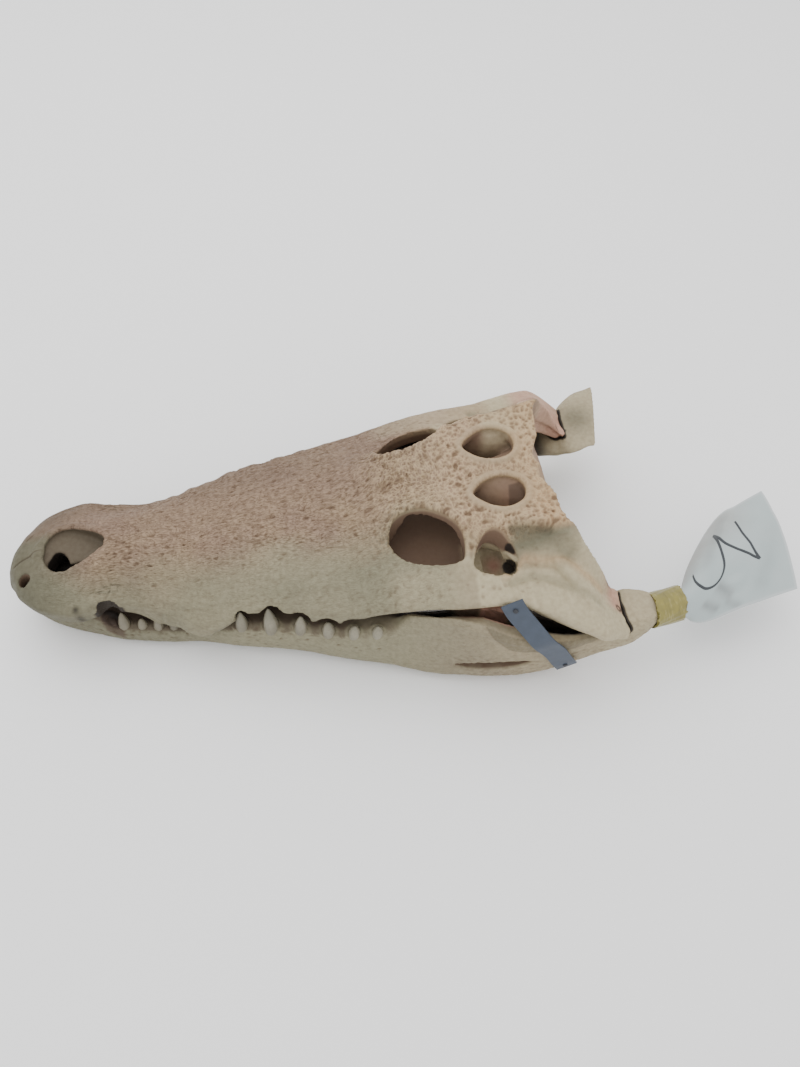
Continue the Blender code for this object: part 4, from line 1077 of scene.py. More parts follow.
def makeTape():
    rows = smoothLine([(*centre, a, b) for centre, a, b in tape["rings"]], 16)
    count, last = tape["sides"], len(rows) - 1
    chance = np.random.default_rng(91)
    frayed = np.convolve(chance.normal(0, 1, count + 8), np.ones(3) / 3, "valid")[:count]
    outer, inner = [], []
    for i, (x, y, z, a, b) in enumerate(rows):
        share = i / last
        for target, thin in ((outer, 0.0), (inner, tape["thickness"])):
            ring = []
            for k in range(count):
                angle = 2 * math.pi * k / count
                ragged = tape["ragged"] * frayed[k] * (share**6 - (1 - share)**6)
                crinkle = (1 + 0.014 * math.sin(5 * angle + share * 5)
                           + 0.010 * math.sin(17 * angle + share * 9))
                slack = 0.0 if not thin else (share - 0.5) * 5
                ring.append((x + slack + (ragged if not thin else 0.0),
                             y + ((a - 0.5) * crinkle - thin) * math.cos(angle),
                             z + ((b - 0.5) * crinkle - thin) * math.sin(angle)))
            target.append(ring)
    return cut(rolledSkin("tapeWrap", outer), [rolledSkin("bore", inner)])


def labelPlace(s, t):            # a place on the label's middle surface, s along it and t across, 0 to 1
    rows = smoothLine(label["rows"], label["steps"])
    at = s * (len(rows) - 1)
    i = min(int(at), len(rows) - 2)
    x, y, z, width, turn, heading = rows[i].lerp(rows[i + 1], at - i)
    side = Vector((math.sin(math.radians(heading)), math.cos(math.radians(heading)), 0))
    radius = width / 2 / turn
    angle = turn * (2 * t - 1)
    drop = Vector((0, 0, radius * (math.cos(angle) - 1)))
    return Vector((x, y, z)) + side * radius * math.sin(angle) + drop


def flatPlace(s, t):
    return s * label["flat"][0], t * label["flat"][1]


def labelFolds(s, t):            # how far the paper stands off its smooth shape, in mm
    opened = share01((s - label["loose"][0]) / label["loose"][1])
    height = 0.0
    for (s0, t0), (s1, t1), rise, width in label["folds"]:
        ds, dt = flatPlace(s1 - s0, t1 - t0)
        ps, pt = flatPlace(s - s0, t - t0)
        k = share01((ps * ds + pt * dt) / (ds * ds + dt * dt))
        away = math.hypot(ps - k * ds, pt - k * dt)
        height += rise * max(0.0, 1 - away / width)
    height += 0.5 * math.sin(s * 21 + t * 5) * math.sin(t * 9 + 1)
    return height * opened


def labelSurface(s, t, lift=0.0):
    return labelPlace(s, t) + Vector((0, 0, min(labelFolds(s, t), 3.0) + lift))


def makeLabel():
    count = (len(label["rows"]) - 1) * label["steps"]
    places = [labelSurface(i / count, k / label["columns"]) for i in range(count + 1)
              for k in range(label["columns"] + 1)]
    bpy.ops.object.select_all(action="DESELECT")
    bpy.ops.mesh.primitive_grid_add(x_subdivisions=label["columns"], y_subdivisions=count, size=1)
    sheet = bpy.context.object
    sheet.name = "paperLabel"
    setPlaces(sheet, places)
    s = np.repeat(np.arange(count + 1) / count, label["columns"] + 1)
    t = np.tile(np.arange(label["columns"] + 1) / label["columns"], count + 1)
    keep(sheet, "warm", soft(t, 0.45, 0.95) * soft(s, 0.95, 0.6) * 0.9)
    # painted shade along the creases, kept as the fold mask
    creased = np.zeros(len(s))
    for start, end, depth, width in label["creases"]:
        away = lineDistance(*flatPlace(s, t), [flatPlace(*start), flatPlace(*end)], closed=False)
        creased += depth * hump(away, 0, width)
    keep(sheet, "fold", np.clip(creased, 0, 1))
    keep(sheet, "rim", 0.8 * np.maximum(soft(abs(t - 0.5), 0.468, 0.49), soft(s, 0.972, 0.985)))
    applied(sheet, "SOLIDIFY", thickness=label["thickness"] * mm, offset=0.0)
    return sheet


def makeNumeral():               # the pen strokes lie on the paper
    strokes = []
    for points in label["pen"]:
        line = smoothLine(points, 10)
        rings = []
        for i, point in enumerate(line):
            ahead = line[min(i + 1, len(line) - 1)] - line[max(i - 1, 0)]
            ahead = Vector(flatPlace(*ahead)).normalized()
            side = Vector((-ahead.y / label["flat"][0], ahead.x / label["flat"][1])) * label["penWidth"] / 2
            low, high = label["thickness"] / 2 + 0.02, label["thickness"] / 2 + 0.3
            rings.append([labelSurface(*(point + side * share), lift)
                          for share, lift in ((-1, low), (1, low), (0.7, high), (-0.7, high))])
        strokes.append(rolledSkin("penStroke", rings))
    numeral = joined(strokes)
    numeral.name = "penNumeral"
    return numeral


# materials

class Finish:                    # one material and the ways to add to its nodes
    def __init__(self, name):
        self.material = bpy.data.materials.new(name)
        self.material.use_nodes = True
        self.tree = self.material.node_tree
        self.shader = self.tree.nodes["Principled BSDF"]

    def feed(self, socket, value):
        if isinstance(value, bpy.types.NodeSocket):
            self.tree.links.new(value, socket)
        else:
            socket.default_value = value

    def add(self, kind, inputs=None, **settings):
        node = self.tree.nodes.new(kind)
        for key, value in settings.items():
            setattr(node, key, value)
        for key, value in (inputs or {}).items():
            self.feed(node.inputs[key], value)
        return node

    def where(self):
        return self.add("ShaderNodeTexCoord").outputs["Object"]

    def stretched(self, place, scale):
        return self.add("ShaderNodeMapping", {"Vector": place, "Scale": scale}).outputs[0]

    def noise(self, place, scale, detail):
        inputs = {"Vector": place, "Scale": scale, "Detail": detail}
        return self.add("ShaderNodeTexNoise", inputs).outputs["Fac"]

    def mask(self, layer):
        return self.add("ShaderNodeAttribute", attribute_name=layer).outputs["Fac"]

    def worked(self, operation, *values):
        return self.add("ShaderNodeMath", dict(enumerate(values)), operation=operation).outputs[0]

    def ranged(self, value, low, high, start=0.0, end=1.0):
        return self.add("ShaderNodeMapRange", {0: value, 1: low, 2: high, 3: start, 4: end}).outputs[0]

    def mixed(self, factor, low, high, blend="MIX"):
        node = self.add("ShaderNodeMix", {0: factor}, data_type="RGBA", blend_type=blend)
        for key, value in ((6, low), (7, high)):
            self.feed(node.inputs[key], (*value, 1.0) if isinstance(value, tuple) else value)
        return node.outputs[2]

    def darker(self, colour, share):
        return self.mixed(1.0, colour, share, "MULTIPLY")

    def bump(self, height, strength, distance, under=None):
        inputs = {"Height": height, "Strength": strength, "Distance": distance}
        if under is not None:
            inputs["Normal"] = under
        return self.add("ShaderNodeBump", inputs).outputs[0]

    def ready(self, colour, roughness, normal):
        for socket, value in (("Base Color", colour), ("Roughness", roughness), ("Normal", normal)):
            self.feed(self.shader.inputs[socket], value)
        return self.material


boneLook = {
    "pale": (0.335, 0.245, 0.152),
    "pink": (0.262, 0.180, 0.128),
    "green": (0.232, 0.222, 0.148),
    # cream: pale bone, also laid as painted light on shaded walls inside the openings
    "cream": (0.455, 0.395, 0.262),
    "ochre": (0.430, 0.278, 0.145),
    "rose": (0.460, 0.250, 0.185),
    # inside: the dark brown of painted shade in recesses and on hidden faces
    "inside": (0.135, 0.084, 0.057),
    # deep: the near-black of painted shade in holes, gaps and hidden places
    "deep": (0.014, 0.010, 0.008),
    # pit: the colour of painted shade at the bottom of pits and grooves
    "pit": (0.110, 0.072, 0.048),
    "ridge": (0.500, 0.380, 0.225),
    "roughness": 0.66,
    "specular": 0.25,
}


def boneMaterial():
    bone, look = Finish("dryBone"), boneLook
    where = bone.where()
    wide = bone.noise(where, 22.0, 3.0)
    grain = bone.noise(where, 300.0, 4.0)
    flow = bone.add("ShaderNodeCombineXYZ", {0: bone.mask("lengthways"), 1: bone.mask("crossways")})
    flow = flow.outputs[0]
    stretched = bone.stretched(flow, (0.20, 0.72, 1.0))
    groove = bone.worked("ABSOLUTE", bone.worked("SUBTRACT", bone.noise(stretched, 1.0, 1.5), 0.5))
    groove = bone.ranged(groove, 0.0, 0.05, 1.0, 0.0)
    speck = bone.add("ShaderNodeTexVoronoi", {"Vector": stretched, "Scale": 0.8, "Randomness": 1.0})
    speck = bone.ranged(speck.outputs["Distance"], 0.08, 0.26, 1.0, 0.0)
    cell = bone.add("ShaderNodeTexVoronoi", {"Vector": flow, "Scale": 0.42, "Randomness": 0.9},
                    feature="DISTANCE_TO_EDGE")
    rim = bone.ranged(cell.outputs["Distance"], 0.02, 0.22, 1.0, 0.0)
    colour = bone.mixed(bone.ranged(wide, 0.35, 0.65), look["pale"], look["pink"])
    # light lays cream, partly as painted light; cool lays green, partly as painted shade in hollows and on
    # the lower near side
    for layer, tint in (("warm", "pink"), ("cool", "green"), ("light", "cream"), ("yellow", "ochre"),
                        ("rose", "rose")):
        colour = bone.mixed(bone.mask(layer), colour, look[tint])
    shade = bone.darker(colour, (0.62, 0.58, 0.55))
    colour = bone.mixed(bone.ranged(grain, 0.35, 0.7, 0.0, 0.45), colour, shade)
    carved = bone.worked("MULTIPLY", bone.mask("carved"), groove)
    specks = bone.worked("MULTIPLY", bone.mask("carved"), speck)
    edges = bone.worked("MULTIPLY", bone.mask("netted"), rim)
    colour = bone.mixed(carved, colour, bone.darker(colour, (0.60, 0.54, 0.50)))
    colour = bone.mixed(specks, colour, bone.darker(colour, (0.50, 0.44, 0.40)))
    colour = bone.mixed(edges, colour, look["ridge"])
    # painted shade in pits and grooves; the hollow mask also carries the dark seam lines
    pitted = bone.mixed(0.5, look["pit"], bone.darker(colour, (0.5, 0.42, 0.36)))
    colour = bone.mixed(bone.mask("hollow"), colour, pitted)
    # painted shade where the surface lies in shadow
    colour = bone.mixed(bone.mask("dim"), colour, bone.darker(colour, (0.42, 0.43, 0.42)))
    # painted shade: inner mixes in the inside brown for recesses, dark mixes in near-black for holes, gaps
    # and hidden places
    for layer, tint in (("inner", "inside"), ("dark", "deep")):
        colour = bone.mixed(bone.mask(layer), colour, look[tint])
    bone.shader.inputs["Specular IOR Level"].default_value = look["specular"]
    roughness = bone.ranged(grain, 0.2, 0.8, look["roughness"] - 0.08, look["roughness"] + 0.1)
    sunken = bone.worked("MULTIPLY", bone.worked("ADD", carved, specks), -1.0)
    fine = bone.bump(sunken, 0.7, 0.0007, under=bone.bump(grain, 0.3, 0.0005))
    return bone.ready(colour, roughness, fine)


boneLayers = ("warm", "cool", "light", "yellow", "rose", "hollow", "dim", "inner", "dark", "carved",
              "netted", "lengthways", "crossways")


def paintMasks(piece, **values):
    for layer in boneLayers:
        keep(piece, layer, values.get(layer, np.zeros(len(piece.data.vertices))))


def crevices(piece, others, reach=3.0):  # 1 where another bone nearly touches, 0 further off than reach mm
    close = np.zeros(len(piece.data.vertices))
    graph = bpy.context.evaluated_depsgraph_get()
    here = np.array([vert.co for vert in piece.data.vertices])
    for other in others:
        there = np.array([Vector(corner) for corner in other.bound_box])
        inBox = ((here > there.min(0) - reach * mm) & (here < there.max(0) + reach * mm)).all(1)
        tree = BVHTree.FromObject(other, graph)
        for k in np.nonzero(inBox)[0]:
            away = tree.find_nearest(here[k], reach * mm)[3]
            if away is not None:
                close[k] = max(close[k], 1 - away / (reach * mm))
    return close


def gapShade(gap, x):            # dark where two bones nearly touch, most of all at the jaw joints
    return 0.95 * np.maximum(soft(gap, 0.2, 0.65), soft(gap, 0.05, 0.4) * soft(x, 444, 450))


def skullTints(piece, jaws):
    p, n = placesOf(piece), normalsOf(piece)
    x, y, z = p.T
    a = abs(y)
    mask = skullMasks(p, n)
    outer, table, depth = mask["outer"], mask["table"], mask["depth"]
    hollows, lines = skullRelief(p, n)[1:]
    patchy = 0.5 + 0.5 * cloud(p, 30, 71)
    # lowSide: the lower near side, given greener tone and a little painted shade
    lowSide = soft(y + 9 * cloud(p, 30, 72), -10, -54) * soft(x, 345, 300)
    rear = soft(x, 380, 400) * soft(a, 58, 68)
    # dish: the ear dish, given green and painted shade
    dish = along(carving["earDish"], x, a, 6.0) * soft(depth, 10, 3) * soft(x, 368, 378)
    bar = soft(x, 331, 341) * soft(x, 355, 345) * soft(a, 48, 54) * soft(a, 72, 62)
    warm = 0.75 * soft(y, -24, 30) * soft(x, 340, 280) * outer + 0.35 * hump(x, 95, 14) * hump(y, 8, 6)
    cool = 0.85 * lowSide + 0.8 * soft(x, 75, 25) * soft(y, 22, 8) + 0.75 * dish
    cool = cool + 0.5 * soft(y, -52, -62) * outer
    light = 0.95 * rear * (0.6 + 0.4 * patchy) + 0.35 * soft(a, 60, 70) * soft(x, 280, 300) + 0.6 * bar
    light = light + 0.3 * lowSide * patchy * soft(x, 90, 130)
    rims = np.zeros(len(x))
    for outline in openOutlines("tableHole"):
        rims = np.maximum(rims, hump(lineDistance(x, y, outline), 2.5, 2.5) * soft(depth, 5, 2))
    ridge = along(carving["cheekRidge"], x, a, 3.0) * outer
    # groove: the cheek groove, given green and painted shade
    groove = along(carving["cheekGroove"], x, a, 3.0) * outer
    # earLine: a painted shade line under the table's edge
    earLine = along(carving["earLine"], x, a, 1.5) * outer
    yellow = table * (0.35 + 0.65 * soft(x, 375, 412)) * (0.45 + 0.55 * patchy) * 0.8
    yellow = yellow * 1.35 + 0.6 * table * hump(x, 403, 8) * hump(y, -42, 12) + 0.5 * ridge
    cool = cool + 0.6 * groove
    light = light + 0.45 * rims
    block = hump(x, 455, 9) * soft(a, 70, 76) * soft(a, 101, 94)
    rose = 0.7 * rear * (y > 0) * soft(x, 400, 420) + 0.8 * block
    rose = rose + 0.3 * hump(x, 380, 12) * hump(y, -22, 10) * (1 - outer)
    # under: painted shade on faces turned down under the upper jaw's edge
    under = soft(n[:, 2], -0.05, -0.5) * soft(x, 300, 280) * 0.55
    under *= soft(a, railArray(roof["marginY"], x) - 26, railArray(roof["marginY"], x) - 4)
    # notch: painted shade in the notch for the fourth lower tooth
    notch = soft(abs(x - openings["notch"][0]), 12, 10) * soft(a, 30, 35)
    notch = notch * soft(z, 69, 66) * soft(depth, 0.2, 1.2)
    # spot: painted shade as dark spots, for a small hole on the near snout and at the jaw joints
    spot = hump(np.hypot(x - 57, y + 48.5), 0, 2.6) + hump(np.hypot((x - 450) / 1.4, a - 78.5), 0, 2.4)
    spot = spot + 1.1 * hump(np.hypot(x - 457, y + 94.5), 2.0, 1.0) * (y < 0)
    gap = crevices(piece, jaws) * (1 - 0.8 * notch)
    # nose: painted near-black shade deep in the nostril
    nose = mask["nasal"] * soft(z, 62.7, 61.5)
    # tip: painted shade in the hole at the snout tip
    tipX, tipY = openings["tipHole"][:2]
    tip = soft(np.hypot(x - tipX, a - tipY), 5.8, 4.6) * soft(depth, 0.6, 2.5)
    # farWall: painted light on the far wall of the right table opening, which lies in shade
    farWall = soft(x, 364, 374) * soft(y, 26, 32) * soft(y, 52, 48) * soft(z, 92, 104)
    hatch = soft(x, 379, 381) * soft(x, 392, 390) * soft(y, -26.5, -25) * soft(y, -12, -13.5)
    hatch = hatch * soft(depth, 2.5, 4)
    # behindSpur: painted near-black shade where the two ways down would be
    behindSpur = cheekPassages(p) * soft(depth, 3, 5) * soft(z, 119, 115)
    # basin and cheekSeen: less painted shade inside the cheek opening, and painted light where cheekSeen
    # lies
    basin = soft(x, 345, 352) * soft(a, 48, 44) * soft(z, 88, 100)
    cheekSeen = soft(x, 345, 351) * soft(x, 390, 382) * soft(y, -35, -40) * soft(z, 108, 98)
    # onSpur: painted light on the spur, which lies in shade
    spurMiddle, spurEnd = (np.array(station[0]) for station in inside["spur"][1:])
    reach = spurMiddle - spurEnd
    away = np.array([x, a, z]).T - spurEnd
    share = np.clip(away @ reach / (reach @ reach), 0, 1.6)
    onSpur = soft(np.linalg.norm(away - share[:, None] * reach, axis=1), 4.2, 2.8)
    behindSpur *= 1 - onSpur
    light = light + onSpur
    # inner: painted shade deep under the roof and in the nostril, notch, tip hole and table opening, less
    # where painted light goes on the spur, basin, far wall and cheek opening
    inner = (0.95 - 0.9 * onSpur - 0.35 * basin - 0.55 * farWall
             - 0.95 * cheekSeen * (1 - onSpur)) * mask["inner"]
    inner = inner + 0.4 * mask["nasal"] + 0.45 * notch + 0.85 * tip + 0.35 * hatch
    # dim: painted shade at the snout tip, in the ear dish, cheek groove, nostril, notch and tip hole, along
    # the table edge, on the lower near side and on the snout's far side
    dim = 1.05 * soft(x, 75, 0) * outer + 0.75 * dish + 0.35 * groove + 0.95 * earLine
    dim = dim + 0.95 * mask["nasal"] + 0.18 * lowSide + 0.5 * notch + 0.5 * tip
    dim = dim + 0.3 * notch + 0.25 * soft(x, 330, 200) * soft(a, 20, 50) * outer * (y > 0)
    # hollow: painted shade in pits and grooves, plus the dark seam lines
    hollow = 0.8 * hollows * (1 + 0.5 * table) + 0.75 * lines
    # dark: painted near-black shade in the nostril, under the snout, at the spots and the notch, behind the
    # spur, along the table edge and in the gaps between bones
    dark = nose + under + 0.8 * spot * outer + 0.82 * notch + 0.2 * mask["nasal"] + behindSpur
    dark = dark + 0.3 * hatch + 0.25 * earLine + gapShade(gap, x)
    carved = outer * soft(x, 14, 50) * soft(x, 345, 300) * (1 - table) * 0.75 * (1 - 0.6 * lowSide)
    netted = 0.55 * (1 - rims) * np.maximum(table, outer * soft(x, 262, 300) * soft(a, 52, 44))
    paintMasks(piece,
               warm=np.clip(warm, 0, 0.85),
               # cool: green tone, also laid as painted shade in the nostril, notch, ear dish and cheek
               # groove
               cool=np.clip(cool + mask["nasal"] + notch, 0, 0.9),
               # light: pale bone, plus painted light on the far wall, the spur and inside the cheek opening
               light=np.clip(light + 0.6 * farWall + 0.9 * cheekSeen, 0, 0.9),
               yellow=np.clip(yellow, 0, 0.85),
               rose=np.clip(rose, 0, 0.85),
               hollow=np.clip(hollow, 0, 0.95) * outer,
               dim=np.clip(dim, 0, 0.95),
               inner=np.clip(inner, 0, 0.9),
               dark=np.clip(dark, 0, 0.97),
               carved=np.clip(carved, 0, 1),
               netted=np.clip(netted, 0, 1),
               lengthways=x + 2.5 * cloud(p, 16, 14),
               crossways=acrossLine(p) + 1.9 * cloud(p, 13, 13))


def jawTints(piece, side, uppers):
    p, n = placesOf(piece), normalsOf(piece)
    x, y, z = p.T
    hollows, lines = jawRelief(side)(p, n)[1:]
    out, top = railArray(jaw["outY"], x), railArray(jaw["topZ"], x)
    beside = side * (y - jaw["shift"])
    facing = soft(side * n[:, 1], 0.05, 0.45)
    shaded = soft(side * n[:, 1], -0.2, -0.6)
    # crown: painted shade on the jaw's top between the teeth, under the edge of the upper jaw
    crown = soft(n[:, 2], 0.25, 0.6) * soft(z, top - 9, top - 4) * soft(x, 58, 64) * soft(x, 294, 284)
    crown *= 0.6 * soft(beside, out - 1.5, out - 3.5) + 0.4 * soft(beside, out - 6, out - 11)
    crown *= 1 - 0.55 * soft(x, 246, 268)
    for at, height, width in lowerTeeth["rows"]:
        ring = np.hypot(x - at, beside - out + lowerTeeth["inset"])
        crown *= 1 - 0.6 * soft(ring, width * 0.95, width * 0.6) * soft(x, 180, 200)
    rimY, rimZ = railArray(jaw["rimY"], x), railArray(jaw["rimZ"], x)
    behindRim = soft(beside, rimY + 1.0, rimY - 1.5) * soft(z, rimZ - 30, rimZ - 20) * soft(x, 284, 294)
    # hidden: painted near-black shade on the jaw's top behind the rim, where the cheek hides it
    hidden = behindRim * (soft(x, 338, 330) + soft(x, 374, 382) * soft(x, 450, 436))
    brown = behindRim * soft(x, 330, 336) * soft(x, 354, 350)
    salmon = behindRim * soft(x, 350, 354) * soft(x, 378, 372)
    slitX, *slitEdges = zip(*jaw["slit"])
    slitLow, slitHigh = (np.interp(x, slitX, edge) for edge in slitEdges)
    # slit: painted shade inside the slit
    slit = soft(x, 331, 335) * soft(x, 392, 389) * soft(z, slitLow - 1, slitLow)
    slit = slit * soft(z, slitHigh + 1, slitHigh)
    slit *= soft(beside, out - 1.2, out - 2.4) * soft(beside, 92, 96)
    # socket: painted shade in the empty socket under the notch
    socket = np.hypot(x - lowerTeeth["emptySocket"], beside - out + lowerTeeth["inset"])
    socket = soft(socket, 10, 7) * soft(z, top - 14, top - 9)
    gap = crevices(piece, uppers) * (1 - 0.8 * socket)
    ledgeZ = railArray(jaw["ledge"], x)
    # onShelf and ledgeLine: painted shade on the shelf in the cheek's shadow and along its crease
    onShelf = soft(z, ledgeZ - 1, ledgeZ + 1) * soft(x, 335, 345) * soft(x, 452, 440) * facing
    ledgeLine = hump(z - ledgeZ, 0, 1.0) * soft(x, 335, 345) * soft(x, 452, 440) * facing
    # throat: painted near-black shade on the top faces between the jaws' front ends
    throat = soft(n[:, 2], 0.2, 0.5) * soft(abs(y), 27, 21) * soft(x, 68, 60)
    # farEnd: painted shade on top of the far jaw's end
    farEnd = (side > 0) * hump(np.hypot(x - 474, y - 96), 0, 17) * soft(n[:, 2], 0.2, 0.6)
    tailEnd = soft(x, 440, 456)
    light = 0.10 + 0.36 * soft(x, 330, 430) + 0.2 * tailEnd
    # inner: painted shade on faces turned away, in the slit, between the teeth and in the empty socket, and
    # the dark brown strip behind the rim
    inner = 0.35 * shaded * soft(x, 420, 300) + 0.85 * brown + 0.85 * slit + 0.75 * crown + 0.6 * socket
    # dark: painted near-black shade between the teeth, where the cheek hides the jaw, between the jaws'
    # front ends, in the empty socket and in the gaps
    dark = 0.55 * crown + 0.93 * hidden + 0.95 * throat + 0.42 * socket + gapShade(gap, x)
    paintMasks(piece,
               cool=np.clip(0.95 - 0.45 * soft(x, 260, 400), 0, 1),
               light=np.clip(light, 0, 0.9),
               rose=np.clip(0.9 * salmon, 0, 1),
               # hollow: painted shade in pits and grooves and along the shelf crease, plus the dark seam
               # line
               hollow=np.clip(0.65 * hollows + 0.5 * lines + 0.3 * ledgeLine, 0, 0.9),
               # dim: painted shade at the jaw's front, on the shelf under the cheek and on the far jaw's
               # end
               dim=np.clip(0.55 * soft(x, 190, 60) + 0.55 * onShelf + 0.9 * farEnd, 0, 0.95),
               inner=np.clip(inner, 0, 0.94),
               dark=np.clip(dark, 0, 0.97),
               carved=0.25 * soft(side * n[:, 1], 0.1, 0.5),
               lengthways=x + 2 * cloud(p, 15, 113),
               crossways=z)


def dress(piece, nodes, material):
    piece.data.materials.clear()
    piece.data.materials.append(material)
    pick(piece)
    bpy.ops.object.shade_smooth_by_angle(angle=sharpEdge)
    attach(piece, "root")
    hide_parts(*nodes)


def palateTints(piece):
    p = placesOf(piece)
    x, y, z = p.T
    reddish = hump(np.hypot(x - 369, y + 50), 0, 7)
    # cheekFloor: painted light on the palate floor seen through the cheek opening, which lies in shade
    cheekFloor = soft(x, 340, 350) * soft(abs(y), 32, 40)
    # holes and dark: painted near-black in the pits and ways down, and painted shade along the palate's
    # near edge towards the front
    holes = 0.96 * np.maximum(palatePits(p), cheekPassages(p))
    dark = np.maximum(holes, 0.5 * hump(y, -60, 9) * soft(x, 330, 300))
    paintMasks(piece,
               light=0.9 * cheekFloor,
               rose=0.9 * reddish,
               # inner: painted shade over the palate, which lies hidden under the skull, less on the floor
               # seen through the cheek opening
               inner=np.clip(0.9 - 0.9 * cheekFloor - 0.2 * reddish, 0, 1),
               dark=dark)


def enamelMaterial(name):        # greyish teeth with a browner foot
    enamel = Finish(name)
    where = enamel.where()
    streak = enamel.noise(enamel.stretched(where, (1.0, 1.0, 0.2)), 700.0, 3.0)
    wide = enamel.noise(where, 90.0, 2.0)
    colour = enamel.mixed(enamel.ranged(wide, 0.35, 0.65), (0.195, 0.180, 0.130), (0.260, 0.238, 0.172))
    colour = enamel.mixed(enamel.ranged(streak, 0.5, 0.75, 0.0, 0.4), colour, (0.13, 0.105, 0.07))
    height = enamel.add("ShaderNodeSeparateXYZ", {0: where}).outputs[2]
    colour = enamel.mixed(enamel.ranged(height, 0.048, 0.040, 0.0, 0.55), colour, (0.12, 0.10, 0.065))
    return enamel.ready(colour, 0.42, enamel.bump(streak, 0.25, 0.0003))


def paperMaterial():             # bluish paper, warmer on one side, with painted shade in the creases, paler at the rim
    paper = Finish("paper")
    grain = paper.noise(paper.where(), 45.0, 4.0)
    colour = paper.mixed(paper.mask("warm"), (0.385, 0.450, 0.450), (0.355, 0.352, 0.335))
    # painted shade along the creases
    colour = paper.mixed(paper.mask("fold"), colour, (0.220, 0.245, 0.245))
    colour = paper.mixed(paper.mask("rim"), colour, (0.52, 0.545, 0.55))
    colour = paper.mixed(paper.ranged(grain, 0.35, 0.7, 0.0, 0.35), colour, (0.46, 0.51, 0.51))
    return paper.ready(colour, 0.5, paper.bump(grain, 0.15, 0.0005))


def tapeMaterial():              # aged yellow tape with brown streaks
    wound = Finish("yellowTape")
    where = wound.where()
    patch = wound.noise(where, 130.0, 3.0)
    streak = wound.noise(wound.stretched(where, (1.0, 0.25, 0.25)), 520.0, 4.0)
    colour = wound.mixed(wound.ranged(patch, 0.35, 0.65), (0.242, 0.208, 0.046), (0.195, 0.168, 0.044))
    colour = wound.mixed(wound.ranged(streak, 0.55, 0.75, 0.0, 0.6), colour, (0.13, 0.10, 0.035))
    colour = wound.mixed(wound.ranged(streak, 0.42, 0.25, 0.0, 0.5), colour, (0.38, 0.33, 0.14))
    return wound.ready(colour, 0.34, wound.bump(streak, 0.5, 0.0005))


def plainMaterial(name, colour, roughness):      # one colour with a slight grain
    plain = Finish(name)
    grain = plain.noise(plain.where(), 180.0, 4.0)
    darkest, lightest = tuple(c * 0.9 for c in colour), tuple(min(1, c * 1.08) for c in colour)
    shade = plain.mixed(plain.ranged(grain, 0.3, 0.7), darkest, lightest)
    return plain.ready(shade, roughness, plain.bump(grain, 0.2, 0.0004))


# every piece, made and dressed

dryBone = boneMaterial()
upperBones = partSkull(makeUpperSkull())
print("upper bones parted")
uppers = list(upperBones.values())
jawBones = {}
for side, word in ((-1, "left"), (1, "right")):
    branch = makeJaw(side, uppers)
    jawBones.update(branch)
    for node, piece in branch.items():
        jawTints(piece, side, uppers)
        dress(piece, [node], dryBone)
    dress(makeTeeth(side), ["dentary_" + word], enamelMaterial("tooth" + word.capitalize()))
print("lower jaw ready")
for node, piece in upperBones.items():
    near = [bone for name, bone in jawBones.items() if name.startswith("jaw_rear") or node == "premaxilla"]
    skullTints(piece, near)
    dress(piece, [node], dryBone)
palateBone = makePalate(uppers + list(jawBones.values()))
palateTints(palateBone)
dress(palateBone, ["palate"], dryBone)
print("palate ready")
strapped = [upperBones["cheek_left"], upperBones["jaw_joint_left"], jawBones["jaw_rear_left"]]
band, pinHeads = makeStrap(strapped)
dress(band, ["jaw_strap"], plainMaterial("blueStrap", (0.041, 0.056, 0.083), 0.5))
pinSteel = plainMaterial("darkPin", (0.022, 0.024, 0.030), 0.55)
for node, piece in zip(("strap_pin_top", "strap_pin_bottom"), pinHeads):
    dress(piece, [node], pinSteel)
dress(makeTape(), ["tape"], tapeMaterial())
dress(makeLabel(), ["paper_label"], paperMaterial())
dress(makeNumeral(), ["paper_label"], plainMaterial("penInk", (0.025, 0.03, 0.035), 0.5))
print("strap, tape and label ready")
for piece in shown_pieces():
    print(piece.name, triangleCount(piece), "triangles")


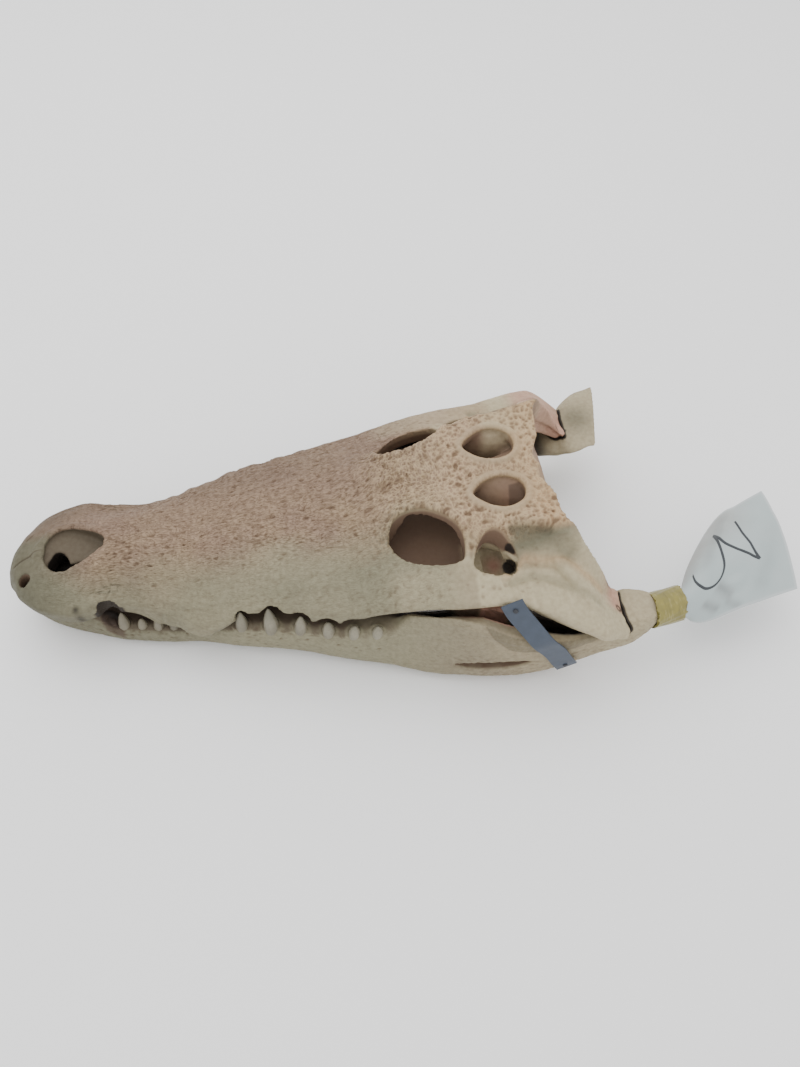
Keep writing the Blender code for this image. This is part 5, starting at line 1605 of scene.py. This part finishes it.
# floor, light and camera

studio = {
    "floor": (0.95, 0.95, 0.95),
    "floorSize": 12,
    "floorDrop": 0.0005,
    "keyPlace": (-0.3, 0.5, 1.5),
    "keyPower": 14.0,
    "keySize": 1.6,
    "world": 1.4,
    "camera": (232.49, -341.44, 569.90),
    "azimuth": -11.90,
    "elevation": 56.06,
    "roll": 5.04,
    "lens": 25.889,
}


def makeFloor():
    bpy.ops.object.select_all(action="DESELECT")
    bpy.ops.mesh.primitive_plane_add(size=studio["floorSize"], location=(0, 0, -studio["floorDrop"]))
    floor = bpy.context.object
    floor.name = "floor"
    pale = Finish("paleFloor")
    pale.shader.inputs["Base Color"].default_value = (*studio["floor"], 1)
    pale.shader.inputs["Roughness"].default_value = 0.9
    floor.data.materials.append(pale.material)


def makeLights():
    world = bpy.data.worlds.new("softRoom")
    world.use_nodes = True
    background = world.node_tree.nodes["Background"]
    background.inputs["Color"].default_value = (1, 1, 1, 1)
    background.inputs["Strength"].default_value = studio["world"]
    bpy.context.scene.world = world
    bpy.ops.object.light_add(type="AREA", location=studio["keyPlace"])
    light = bpy.context.object
    light.name = "key"
    light.data.energy = studio["keyPower"]
    light.data.size = studio["keySize"]
    light.rotation_mode = "QUATERNION"
    light.rotation_quaternion = Vector(studio["keyPlace"]).to_track_quat("Z", "Y")


def makeCamera():
    a, e, r = (math.radians(studio[key]) for key in ("azimuth", "elevation", "roll"))
    back = Vector((math.sin(a) * math.cos(e), -math.cos(a) * math.cos(e), math.sin(e)))
    right = Vector((math.cos(a), math.sin(a), 0))
    up = back.cross(right)
    turned = right * math.cos(r) + up * math.sin(r)
    bpy.ops.object.camera_add(location=Vector(studio["camera"]) * mm + tipPlace)
    camera = bpy.context.object
    camera.rotation_mode = "QUATERNION"
    camera.rotation_quaternion = Matrix((turned, back.cross(turned), back)).transposed().to_quaternion()
    camera.data.sensor_width = 36
    camera.data.lens = studio["lens"]
    bpy.context.scene.camera = camera


makeFloor()
makeLights()
makeCamera()
print("room ready")
